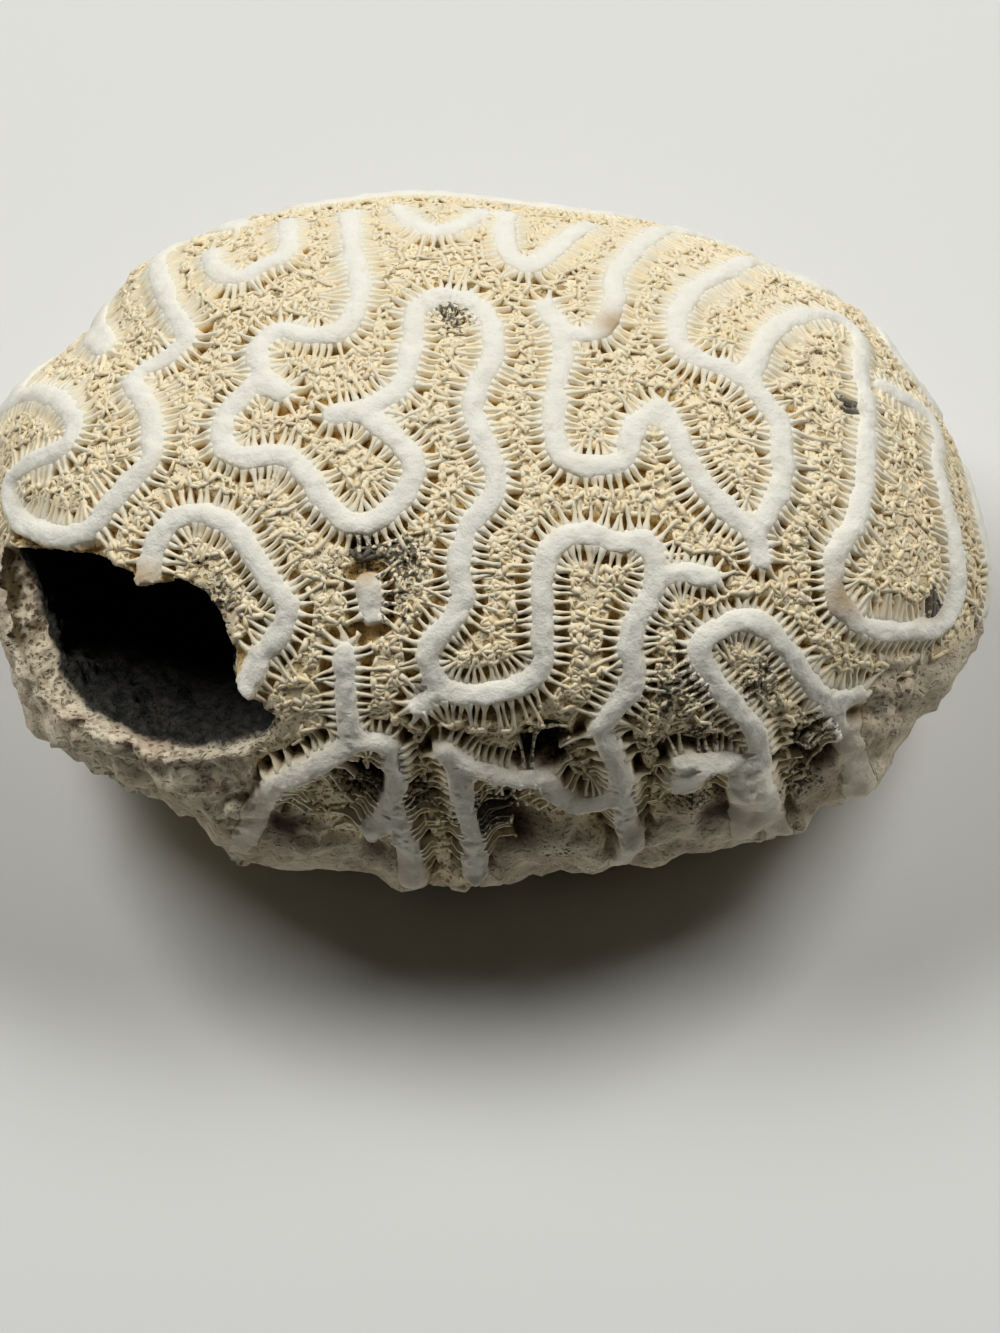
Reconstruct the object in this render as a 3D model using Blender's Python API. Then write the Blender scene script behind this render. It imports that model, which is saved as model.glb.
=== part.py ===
"""Fossil brain coral: one beach-worn lump, rounded above, with meandering walls and a hollow in its left front.

Metres, +Z up. The lump rests on its flat broken base, whose middle is the origin.
"""

import math

import bmesh
import bpy
import numpy as np
from mathutils import Vector, noise
from mathutils.bvhtree import BVHTree
from mathutils.kdtree import KDTree

MM = 0.001

# The lump, from its middle at its widest level
HALF_LENGTH = 41.5 * MM
HALF_DEPTH = 29.5 * MM
HALF_HEIGHT = 24.0 * MM
MIDDLE_HEIGHT = 17.0 * MM
LUMP_HEIGHT = 0.8 * MM
FULLNESS = 0.4
OUTLINE_INSET = 5
OUTLINE_STEPS = 72

# Walls and valleys
WALL_WIDTH = 2.0 * MM
WALL_SPACING = 7.0 * MM
CREST = 1.4 * MM
SHOULDER = 1.0 * MM
VALLEY = -0.8 * MM
FLANK = 1.3 * MM
WALLS_FADE_FROM = 7.0 * MM
WALLS_FADE_TO = 2.0 * MM
UNDERSIDE_KNOBS = 0.7 * MM

# The picture's frame in pixels, and the place that it was seen from
PICTURE = (1000, 1333)
PICTURE_MIDDLE = (490, 540)
PIXELS_PER_MM = 11.75
SIGHT_ELEVATION = math.radians(60)
SIGHT_DISTANCE = 300 * MM

# Mesh steps along each side of the cube that the lump is blown up from
PATTERN_STEPS = 44
SURFACE_STEPS = 84
SOLID_TRIANGLES = 8200

# Wall middles, drawn over the picture in its pixels
WALL_ROUTES = {
    "left_hook": [
        (0, 388), (28, 385), (52, 392), (66, 412), (66, 430), (50, 447), (25, 458), (6, 472), (1, 492),
        (8, 513), (32, 528), (62, 534), (86, 524), (102, 503), (120, 483), (140, 463), (148, 440),
        (147, 415), (138, 392), (128, 376), (140, 362), (163, 350), (181, 335), (178, 320), (163, 300),
        (156, 278), (150, 252),
    ],
    "top_left_arch": [(207, 246), (214, 264), (235, 270), (262, 257), (284, 243), (285, 214)],
    "upper_left_loop": [
        (350, 205), (350, 235), (358, 268), (354, 303), (336, 327), (306, 328), (277, 324), (254, 340),
        (256, 362), (246, 383), (226, 402), (218, 421), (222, 443), (243, 453), (281, 451), (303, 469),
        (320, 495), (340, 515), (367, 520), (392, 504), (410, 479), (411, 456), (392, 431), (367, 410),
    ],
    "upper_left_bump": [(256, 370), (280, 386)],
    "great_meander": [
        (332, 410), (352, 406), (376, 398), (395, 385), (407, 360), (412, 330), (415, 304), (430, 292),
        (449, 288), (471, 294), (488, 310), (495, 332), (491, 357), (480, 378), (473, 400), (480, 426),
        (489, 447), (497, 468), (495, 488), (483, 505), (470, 523), (461, 546), (458, 572), (462, 595),
        (455, 614), (440, 630), (430, 648), (431, 672), (440, 690), (465, 699), (499, 695), (528, 684),
        (542, 662), (543, 622), (542, 584), (549, 553), (565, 535), (591, 530), (618, 538), (643, 536),
        (656, 551), (658, 576), (648, 603), (636, 624), (630, 649), (636, 672), (629, 695), (613, 716),
        (602, 735), (612, 756), (619, 778), (624, 803), (627, 835),
    ],
    "corner_spur": [(440, 693), (418, 710)],
    "side_spur": [(658, 572), (684, 570), (712, 576)],
    "right_hook": [
        (545, 298), (558, 318), (563, 340), (561, 365), (556, 395), (554, 426), (565, 455), (599, 462),
        (625, 456), (631, 433), (645, 411), (663, 404), (676, 426), (691, 456), (710, 487), (735, 511),
        (757, 532), (764, 556),
    ],
    "upper_middle": [
        (560, 322), (582, 327), (604, 320), (614, 293), (617, 266), (635, 243), (660, 223),
    ],
    "right_top_hook": [
        (760, 250), (726, 265), (697, 280), (680, 304), (680, 334), (699, 352), (726, 361), (749, 375),
        (768, 396), (783, 415), (785, 440), (787, 467), (779, 495), (757, 532),
    ],
    "right_wall": [
        (752, 372), (761, 352), (770, 330), (792, 312), (820, 305), (847, 312), (866, 332), (868, 364),
        (873, 395), (874, 425), (872, 456), (868, 494), (860, 522), (843, 545), (838, 572), (843, 600),
        (858, 618), (880, 630), (911, 634), (941, 628), (958, 611), (965, 586), (966, 558), (962, 530),
        (955, 500), (948, 472), (945, 448),
    ],
    "far_right_crest": [(890, 380), (915, 395), (938, 412), (948, 440)],
    "arch": [
        (762, 778), (764, 756), (756, 731), (738, 710), (721, 687), (706, 665), (702, 648), (718, 630),
        (744, 620), (771, 628), (794, 655), (813, 683), (836, 710), (853, 735), (862, 760), (862, 790),
    ],
    "lower_right_ledge": [(684, 768), (706, 770), (733, 767), (764, 770)],
    "hollow_arch": [
        (143, 580), (150, 546), (166, 519), (191, 511), (223, 520), (246, 547), (266, 577), (284, 603),
        (281, 630), (264, 648), (251, 670), (241, 690),
    ],
    "lower_stem": [
        (343, 652), (344, 686), (346, 720), (352, 743), (376, 747), (391, 758), (395, 792), (384, 822),
        (370, 835),
    ],
    "lower_left_branch": [
        (352, 745), (330, 760), (303, 776), (274, 791), (254, 816), (243, 842), (236, 864),
    ],
    "bottom_wall": [
        (444, 757), (472, 773), (512, 786), (544, 787), (556, 802), (580, 813), (606, 810), (622, 800),
    ],
    "bottom_drop": [(446, 758), (460, 782), (464, 812), (472, 845), (478, 878)],
    "top_mound": [(398, 200), (412, 214), (440, 222), (466, 214), (482, 203)],
    "top_right_loop": [(507, 205), (506, 232), (517, 253), (534, 257), (550, 244), (568, 230), (590, 216)],
}

# The lump's edge and the edge of its hollow, drawn over the picture in its pixels
OUTLINE = [
    (-8, 400), (60, 358), (108, 325), (112, 290), (135, 262), (165, 248), (215, 228), (260, 212),
    (310, 203), (385, 196), (410, 193), (500, 203), (600, 213), (650, 220), (700, 235), (775, 262),
    (820, 290), (860, 305), (880, 325), (900, 365), (925, 395), (950, 435), (965, 480), (978, 530),
    (992, 560), (990, 590), (975, 655), (945, 685), (920, 712), (905, 735), (890, 760), (870, 795),
    (800, 815), (775, 845), (700, 850), (640, 862), (600, 868), (525, 868), (490, 886), (465, 886),
    (405, 885), (355, 868), (300, 864), (235, 868), (222, 845), (205, 815), (180, 810), (140, 790),
    (80, 765), (40, 745), (28, 715), (12, 660), (-6, 600), (-12, 520), (-12, 450),
]
HOLLOW_MOUTH = [
    (12, 549), (50, 552), (100, 556), (130, 572), (146, 590), (180, 580), (205, 592), (222, 612), (235, 650),
    (236, 680), (250, 698), (270, 712), (262, 732), (235, 740), (200, 745), (150, 738), (100, 716), (68, 690),
    (50, 650), (34, 600),
]
HOLLOW_RIM = [
    (6, 546), (50, 549), (100, 554), (130, 570), (146, 588), (180, 578), (205, 590), (222, 611), (236, 650),
    (238, 680), (252, 697), (278, 714), (276, 735), (250, 748), (200, 754), (150, 746), (104, 728), (66, 712),
    (40, 690), (20, 648), (6, 600),
]

# Deep pits near the front rim: place in the picture, radius and depth
PITS = [
    ((545, 746), 2.0 * MM, 2.6 * MM),
    ((490, 812), 2.8 * MM, 3.2 * MM),
    ((362, 780), 1.8 * MM, 1.4 * MM),
    ((425, 800), 2.0 * MM, 1.4 * MM),
    ((815, 740), 1.8 * MM, 1.6 * MM),
]

# The hollow behind its mouth, along the line of sight
HOLLOW_PIXEL = (140, 650)
HOLLOW_OUTER_REACH = 22.0 * MM
HOLLOW_DEPTH = 22.0 * MM
HOLLOW_UNDERCUT = 6.0 * MM
HOLLOW_LUMPS = 0.7 * MM
HOLLOW_STEPS = 14


def clear_scene():
    for obj in list(bpy.data.objects):
        bpy.data.objects.remove(obj)


def blown_cube(steps):
    """A bmesh cube, evenly divided, with its points moved out onto the unit sphere."""
    bm = bmesh.new()
    bmesh.ops.create_cube(bm, size=2.0)
    bmesh.ops.subdivide_edges(bm, edges=bm.edges[:], cuts=steps - 1, use_grid_fill=True)
    for vert in bm.verts:
        vert.co = Vector(math.tan(side * math.pi / 4) for side in vert.co).normalized()
    return bm


def points_of(bm):
    return np.array([vert.co for vert in bm.verts])


def lumps(points, wavelength):
    """Gentle unevenness between -1 and 1, the same every time."""
    return np.array([noise.noise(Vector(point) / wavelength * 2) for point in points])


class Sight:
    """The place that the picture was seen from."""

    def __init__(self):
        middle = Vector((0, 0, MIDDLE_HEIGHT))
        ahead = Vector((0, math.cos(SIGHT_ELEVATION), -math.sin(SIGHT_ELEVATION)))
        up = Vector((0, math.sin(SIGHT_ELEVATION), math.cos(SIGHT_ELEVATION)))
        off_x = (PICTURE[0] / 2 - PICTURE_MIDDLE[0]) / PIXELS_PER_MM * MM
        off_y = (PICTURE[1] / 2 - PICTURE_MIDDLE[1]) / PIXELS_PER_MM * MM
        self.place = middle - SIGHT_DISTANCE * ahead
        self.turn = (middle + Vector((off_x, 0, 0)) - off_y * up - self.place).to_track_quat("-Z", "Y")
        self.axes = np.array(self.turn.to_matrix())
        self.pixels_away = SIGHT_DISTANCE / MM * PIXELS_PER_MM

    def ray(self, pixel):
        right = pixel[0] - PICTURE[0] / 2
        down = pixel[1] - PICTURE[1] / 2
        return (self.turn @ Vector((right, -down, -self.pixels_away))).normalized()

    def seen_at(self, points):
        """Pixels right of and up from the lump's middle, and the distance along the line of sight."""
        local = (points - np.array(self.place)) @ self.axes
        right = -local[:, 0] / local[:, 2] * self.pixels_away + PICTURE[0] / 2 - PICTURE_MIDDLE[0]
        up = -local[:, 1] / local[:, 2] * self.pixels_away - PICTURE[1] / 2 + PICTURE_MIDDLE[1]
        return right, up, local[:, 2]

    def moved_to(self, right, up, away):
        """The points that are seen at these pixels and distances."""
        x = (right - PICTURE[0] / 2 + PICTURE_MIDDLE[0]) * -away / self.pixels_away
        y = (up + PICTURE[1] / 2 - PICTURE_MIDDLE[1]) * -away / self.pixels_away
        return np.stack([x, y, away], axis=1) @ self.axes.T + np.array(self.place)

    def on_lump(self, pixel, tree):
        """The lump's point at a pixel, or its nearest one where the pixel is just outside."""
        ray = self.ray(pixel)
        hit = tree.ray_cast(self.place, ray)[0]
        if hit is None:
            abreast = ray.dot(Vector((0, 0, MIDDLE_HEIGHT)) - self.place)
            hit = tree.find_nearest(self.place + ray * abreast)[0]
        return hit

    def facing(self, points, normals):
        towards = np.array(self.place) - points
        return (towards * normals).sum(axis=1) / np.linalg.norm(towards, axis=1)


def ring_reach(ring, middle, angles):
    """How far a ring of pixels is from its middle, in each direction."""
    right = np.array([pixel[0] - middle[0] for pixel in ring])
    up = np.array([middle[1] - pixel[1] for pixel in ring])
    close = np.arange(0, 1, 0.1)[:, None]
    right = (right * (1 - close) + np.roll(right, -1) * close).T.ravel()
    up = (up * (1 - close) + np.roll(up, -1) * close).T.ravel()
    turns = np.arctan2(up, right)
    order = np.argsort(turns)
    return np.interp(angles, turns[order], np.hypot(right, up)[order], period=2 * math.pi)


def plain_lump(directions):
    """An ellipsoid with full shoulders and gentle unevenness."""
    power = 2 + FULLNESS * np.clip(directions[:, 2] / 0.6 + 0.6, 0, 1)
    fuller = (np.abs(directions) ** power[:, None]).sum(axis=1) ** (-1 / power)
    points = directions * np.array([HALF_LENGTH, HALF_DEPTH, HALF_HEIGHT]) * fuller[:, None]
    points += directions * (LUMP_HEIGHT * lumps(directions, 1.3))[:, None]
    return points + np.array([0, 0, MIDDLE_HEIGHT])


def plain_outline(sight):
    """The plain lump's reach from its middle as it is seen, in even turns."""
    bm = blown_cube(PATTERN_STEPS)
    right, up, _ = sight.seen_at(plain_lump(points_of(bm)))
    bm.free()
    slots = np.floor(np.arctan2(up, right) / (2 * math.pi) * OUTLINE_STEPS).astype(int) % OUTLINE_STEPS
    reach = np.zeros(OUTLINE_STEPS)
    np.maximum.at(reach, slots, np.hypot(right, up))
    return reach


def lump_surface(directions, sight, reach):
    """The smooth lump, moved out or in so that its seen edge is the traced one."""
    points = plain_lump(directions)
    right, up, away = sight.seen_at(points)
    turns = np.arctan2(up, right)
    slots = (np.arange(OUTLINE_STEPS) + 0.5) / OUTLINE_STEPS * 2 * math.pi
    ratio = (ring_reach(OUTLINE, PICTURE_MIDDLE, slots) - OUTLINE_INSET) / reach
    ratio = (np.roll(ratio, 1) + 2 * ratio + np.roll(ratio, -1)) / 4
    share = np.minimum(np.hypot(right, up) / np.interp(turns, slots, reach, period=2 * math.pi), 1) ** 2
    grow = 1 + (np.interp(turns, slots, ratio, period=2 * math.pi) - 1) * share
    return sight.moved_to(right * grow, up * grow, away)


def shape_lump(bm, sight, reach):
    """Moves a blown cube's points onto the smooth lump. Returns them and their normals."""
    for vert, point in zip(bm.verts, lump_surface(points_of(bm), sight, reach)):
        vert.co = point
    bm.normal_update()
    return points_of(bm), np.array([vert.normal for vert in bm.verts])


def smooth_route(corners, step):
    """Points about a step apart on a Catmull-Rom curve through the corners."""
    first = 2 * corners[0] - corners[1]
    last = 2 * corners[-1] - corners[-2]
    ring = [first, *corners, last]
    route = []
    for a, b, c, d in zip(ring, ring[1:], ring[2:], ring[3:]):
        count = max(2, math.ceil((c - b).length / step))
        for k in range(count):
            t = k / count
            route.append(
                0.5 * (2 * b + (c - a) * t + (2 * a - 5 * b + 4 * c - d) * t**2 + (3 * b - a - 3 * c + d) * t**3)
            )
    return route + [corners[-1]]


def tree_of(points):
    tree = KDTree(len(points))
    for index, point in enumerate(points):
        tree.insert(point, index)
    tree.balance()
    return tree


def nearest_gap(points, tree):
    return np.array([tree.find(point)[2] for point in points])


def neighbours(points, tree, reach):
    """For each point, the tree's points within reach: where its run starts, their numbers and their distances."""
    found = [tree.find_range(point, reach) for point in points]
    counts = np.array([len(hits) for hits in found])
    starts = np.concatenate([[0], np.cumsum(counts)[:-1]])
    numbers = np.array([hit[1] for hits in found for hit in hits])
    gaps = np.array([hit[2] for hits in found for hit in hits])
    return starts, counts, numbers, gaps


def even_weights(gaps, spread, starts, counts):
    weights = np.exp(-(gaps**2) / (2 * spread**2))
    return weights / np.repeat(np.add.reduceat(weights, starts), counts)


def grown_walls(points, drawn_gap, seen):
    """1 on walls and -1 in valleys. Seen points keep the drawn walls, and the rest grow on from them in even meanders."""
    reach = 0.9 * WALL_SPACING
    starts, counts, numbers, gaps = neighbours(points, tree_of(points), reach)
    near = even_weights(gaps, 0.153 * WALL_SPACING, starts, counts)
    wide = even_weights(gaps, 0.306 * WALL_SPACING, starts, counts)
    drawn = np.where(drawn_gap < 0.25 * WALL_SPACING, 1.0, -1.0)
    state = np.where(seen, drawn, lumps(points, WALL_SPACING))
    for _ in range(30):
        pull = np.add.reduceat((near - wide) * state[numbers], starts)
        state = np.where(seen, drawn, np.tanh(6 * pull))
    return state


def wall_field(points, normals, sight, reach):
    """Signed distance to the nearest wall's side, below 0 on a wall, for each point of the lump."""
    coarse = blown_cube(PATTERN_STEPS)
    seeds, seed_normals = shape_lump(coarse, sight, reach)
    lump_tree = BVHTree.FromBMesh(coarse)
    for vert, normal in zip(coarse.verts, seed_normals):
        vert.co += Vector(normal) * CREST
    crest_tree = BVHTree.FromBMesh(coarse)
    coarse.free()
    routes = []
    for route in WALL_ROUTES.values():
        crests = [sight.on_lump(pixel, crest_tree) for pixel in route]
        routes.append(smooth_route([lump_tree.find_nearest(crest)[0] for crest in crests], 0.3 * MM))
    drawn_tree = tree_of([point for route in routes for point in route])
    seed_gap = nearest_gap(seeds, drawn_tree)
    seed_facing = sight.facing(seeds, seed_normals)
    seed_seen = (seed_facing > 0.5) | ((seed_facing > 0.18) & (seed_gap < 0.55 * WALL_SPACING))
    state = grown_walls(seeds, seed_gap, seed_seen)
    starts, counts, numbers, gaps = neighbours(points, tree_of(seeds), 2.6 * MM)
    grown = np.add.reduceat(even_weights(gaps, 1.1 * MM, starts, counts) * state[numbers], starts)
    level = np.quantile(grown, 1 - 1.15 * WALL_WIDTH / WALL_SPACING)
    gap = nearest_gap(points, drawn_tree)
    facing = sight.facing(points, normals)
    close = np.clip((0.6 - gap / WALL_SPACING) / 0.2, 0, 1) * np.clip((facing - 0.14) / 0.12, 0, 1)
    share = np.maximum(close, np.clip((facing - 0.45) / 0.1, 0, 1))
    drawn_side = gap - WALL_WIDTH / 2
    grown_side = (level - grown) * 0.35 * WALL_SPACING
    return share * drawn_side + (1 - share) * grown_side, lump_tree


def relief(side):
    """Height over the smooth lump, by signed distance from a wall's side."""
    inside = np.clip(-side / (WALL_WIDTH / 2), 0, 1)
    outside = np.clip(side / FLANK, 0, 1)
    flank = SHOULDER + (VALLEY - SHOULDER) * (3 * outside**2 - 2 * outside**3)
    return np.where(side < 0, SHOULDER + (CREST - SHOULDER) * np.sqrt(inside), flank)


def pit_depths(points, sight, tree):
    depth = np.zeros(len(points))
    for pixel, radius, deepest in PITS:
        gap = np.linalg.norm(points - np.array(sight.on_lump(pixel, tree)), axis=1) / radius
        depth += deepest * np.exp(-(gap**4))
    return depth


def material(name, colour, roughness):
    made = bpy.data.materials.new(name)
    made.use_nodes = True
    shader = made.node_tree.nodes["Principled BSDF"]
    shader.inputs["Base Color"].default_value = (*colour, 1.0)
    shader.inputs["Roughness"].default_value = roughness
    shader.inputs["Metallic"].default_value = 0.0
    return made


def object_from(bm, name):
    mesh = bpy.data.meshes.new(name)
    bm.to_mesh(mesh)
    bm.free()
    obj = bpy.data.objects.new(name, mesh)
    bpy.context.scene.collection.objects.link(obj)
    return obj


def coral_mass(sight, reach):
    bm = blown_cube(SURFACE_STEPS)
    points, normals = shape_lump(bm, sight, reach)
    side, tree = wall_field(points, normals, sight, reach)
    high = np.clip((points[:, 2] - WALLS_FADE_TO) / (WALLS_FADE_FROM - WALLS_FADE_TO), 0, 1)
    height = high * (relief(side) - pit_depths(points, sight, tree))
    height += (1 - high) * UNDERSIDE_KNOBS * lumps(points, 6 * MM)
    for vert, point in zip(bm.verts, points + normals * height[:, None]):
        vert.co = point
    return object_from(bm, "brain_coral"), tree


def cutter(bm, name):
    obj = object_from(bm, name)
    obj.hide_render = True
    obj.display_type = "WIRE"
    return obj


def hollow_cutter(sight, tree):
    """The hollow: its broken rim at the surface, narrower just inside, then reaching back under the lump."""
    bm = blown_cube(HOLLOW_STEPS)
    directions = points_of(bm)
    right, up, away = directions.T
    turns = np.arctan2(up, right)
    mouth = ring_reach(HOLLOW_MOUTH, HOLLOW_PIXEL, turns)
    rim = ring_reach(HOLLOW_RIM, HOLLOW_PIXEL, turns)
    open_share = np.clip(1 + away / 0.35, 0, 1)
    wide = (1 - np.abs(away) ** 3) ** (1 / 3) * (mouth + (rim - mouth) * open_share)
    inward = np.clip(-away, 0, 1)
    middle = sight.on_lump(HOLLOW_PIXEL, tree)
    _, _, middle_away = sight.seen_at(np.array([middle]))
    pixels_per_m = sight.pixels_away / -middle_away
    shift_right = HOLLOW_PIXEL[0] - PICTURE_MIDDLE[0]
    shift_up = PICTURE_MIDDLE[1] - HOLLOW_PIXEL[1] + HOLLOW_UNDERCUT * inward * pixels_per_m
    depth = np.where(away > 0, HOLLOW_OUTER_REACH, HOLLOW_DEPTH) * away
    points = sight.moved_to(
        np.cos(turns) * wide + shift_right, np.sin(turns) * wide + shift_up, middle_away + depth
    )
    inner = np.clip(inward * 6, 0, 1)
    points += directions @ sight.axes.T * (HOLLOW_LUMPS * inner * lumps(points, 5 * MM))[:, None]
    for vert, point in zip(bm.verts, points):
        vert.co = point
    return cutter(bm, "hollow_cutter")


def base_cutter():
    """A block whose top is the plane that the coral broke off on."""
    bm = bmesh.new()
    block = 4 * HALF_LENGTH
    bmesh.ops.create_cube(bm, size=block)
    bmesh.ops.translate(bm, verts=bm.verts[:], vec=(0, 0, -block / 2))
    return cutter(bm, "base_cutter")


def cut(obj, tool):
    boolean = obj.modifiers.new(tool.name, "BOOLEAN")
    boolean.operation = "DIFFERENCE"
    boolean.object = tool


def build():
    clear_scene()
    sight = Sight()
    coral, lump_tree = coral_mass(sight, plain_outline(sight))
    coral.data.materials.append(material("worn_coral", (0.82, 0.77, 0.66), 0.9))
    thin = coral.modifiers.new("fewer_faces", "DECIMATE")
    thin.ratio = SOLID_TRIANGLES / (12 * SURFACE_STEPS**2)
    cut(coral, hollow_cutter(sight, lump_tree))
    cut(coral, base_cutter())


build()
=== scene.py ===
"""Fossil brain coral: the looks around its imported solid.

The lump's walls, valleys and hollow follow the same traced routes and named sizes as its solid. Septa, the
spongy valley floors and every finish are added here.
"""

import math

import bmesh
import bpy
import numpy as np
from bpy.props import FloatProperty, FloatVectorProperty, IntProperty, PointerProperty
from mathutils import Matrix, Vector, noise
from mathutils.bvhtree import BVHTree
from mathutils.kdtree import KDTree


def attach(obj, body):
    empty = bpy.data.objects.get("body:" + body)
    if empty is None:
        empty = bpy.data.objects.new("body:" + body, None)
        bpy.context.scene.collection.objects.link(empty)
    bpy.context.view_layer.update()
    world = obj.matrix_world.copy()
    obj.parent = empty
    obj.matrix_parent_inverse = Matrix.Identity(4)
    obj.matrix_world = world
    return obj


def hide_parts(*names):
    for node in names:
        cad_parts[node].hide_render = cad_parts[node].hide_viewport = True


bl_info = {
    "name": "Fossil Brain Coral",
    "version": (1, 0, 0),
    "blender": (4, 5, 0),
    "location": "View3D > Sidebar > Coral",
    "description": "Builds a worn brain coral skeleton around its packed solid",
    "category": "Object",
}

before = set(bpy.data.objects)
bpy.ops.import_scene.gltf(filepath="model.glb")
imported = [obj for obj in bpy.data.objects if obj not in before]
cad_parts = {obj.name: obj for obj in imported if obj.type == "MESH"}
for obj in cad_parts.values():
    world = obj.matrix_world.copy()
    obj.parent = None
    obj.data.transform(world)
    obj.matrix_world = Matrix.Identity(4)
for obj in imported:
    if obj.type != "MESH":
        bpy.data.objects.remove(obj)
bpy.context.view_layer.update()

MM = 0.001
NODE = "brain_coral"

# The lump, from its middle at its widest level
HALF_LENGTH = 41.5 * MM
HALF_DEPTH = 29.5 * MM
HALF_HEIGHT = 24.0 * MM
MIDDLE_HEIGHT = 17.0 * MM
LUMP_HEIGHT = 0.8 * MM
FULLNESS = 0.4
OUTLINE_INSET = 5
OUTLINE_STEPS = 72
TURNS = (np.arange(OUTLINE_STEPS) + 0.5) / OUTLINE_STEPS * 2 * math.pi

# Walls and valleys. The lines are those where the surface bends, in millimetres from a wall's side and from
# the start of a valley's raised middle
WALL_WIDTH = 2.0 * MM
WALL_SPACING = 7.0 * MM
CREST = 1.4 * MM
BANK_START = 0.95 * MM
WALL_FOOT = 0.05
MOAT_EDGE = 0.3
SIDE_LINES = (-0.55, -0.2, WALL_FOOT, MOAT_EDGE)
BANK_LINES = (0.0, 0.4)
BANK_SHARE = 0.45
NARROWEST_BANK = 0.6 * MM
ROUTE_STEP = 0.3 * MM

# A wall's side is averaged over the near seeds. The mesh is then cut along the lines, where points nearer
# than the snap to a line are put on it, and points nearer than the weld are made one
SIDE_REACH = 2.6 * MM
SIDE_SPREAD = 1.1 * MM
WIDTH_REACH = 2.4 * MM
BANK_REACH = 2.0 * MM
BANK_SPREAD = 0.8 * MM
GROWN_SHARE = 1.15
GROWN_SLOPE = 0.35
LINE_SNAP = 0.05
RIM_SNAP = 0.01
WELD = 0.03 * MM

# How the walls grow on over the sides that the picture doesn't show. Distances are shares of the wall spacing
GROWTH_REACH = 0.9
GROWTH_NEAR = 0.153
GROWTH_WIDE = 0.306
DRAWN_REACH = 0.25
SURE_REACH = 0.55
GROWTH_ROUNDS = 30
GROWTH_SHARPNESS = 6

# How far a place faces the camera, from 1 straight on to 0 edge on, to count as well or barely seen
WELL_SEEN = 0.5
BARELY_SEEN = 0.18
SPLIT_SEEN = 0.25

# Edges wander: how far walls are drawn in, and the height of the longer and the shorter waves in their edges
EDGE_INSET = 0.08 * MM
EDGE_WANDER = 0.26 * MM
EDGE_RAGGEDNESS = 0.2 * MM

# The relief in millimetres: the walls, how much lower the gaps and ridges of shaded valleys lie, the worn rim
CREST_RISE = 0.88
CREST_ROUNDING = 0.33
LOW_MOAT_DROP = 1.3
LOW_RIDGE_DROP = 0.9
UNDER_DROP = 0.9
WORN_RISE = 0.55
FOOT_LEVELS = (2.0 * MM, 7.0 * MM)
LEDGE_REACH = 1.1 * MM
LEDGE_SHIFT = 0.55

# Septa in millimetres: root inside the wall, top beside it, and how far the end stands over the ridge
SEPTUM_ROOT = -0.5
SEPTUM_PARTS = 5
SEPTUM_TOP = 0.55
SEPTUM_END = 0.07
LONG_SEPTA = 0.8
SEPTA_SEED = 5
FAR_SIDE_STEPS = np.arange(0.3, 3.7, 0.2) * MM

# The spongy crust: places tried, and the height of a strut above and below its middle
SPONGE_TRIES = 110000
STRUT_RISE = 0.12 * MM
STRUT_ROOT = 0.3 * MM
SPONGE_SEED = 8

# The picture's frame in pixels, and the place that it was seen from
PICTURE = (1000, 1333)
PICTURE_MIDDLE = (490, 540)
PIXELS_PER_MM = 11.75
SIGHT_ELEVATION = math.radians(60)
SIGHT_DISTANCE = 300 * MM
PATTERN_STEPS = 44

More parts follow.
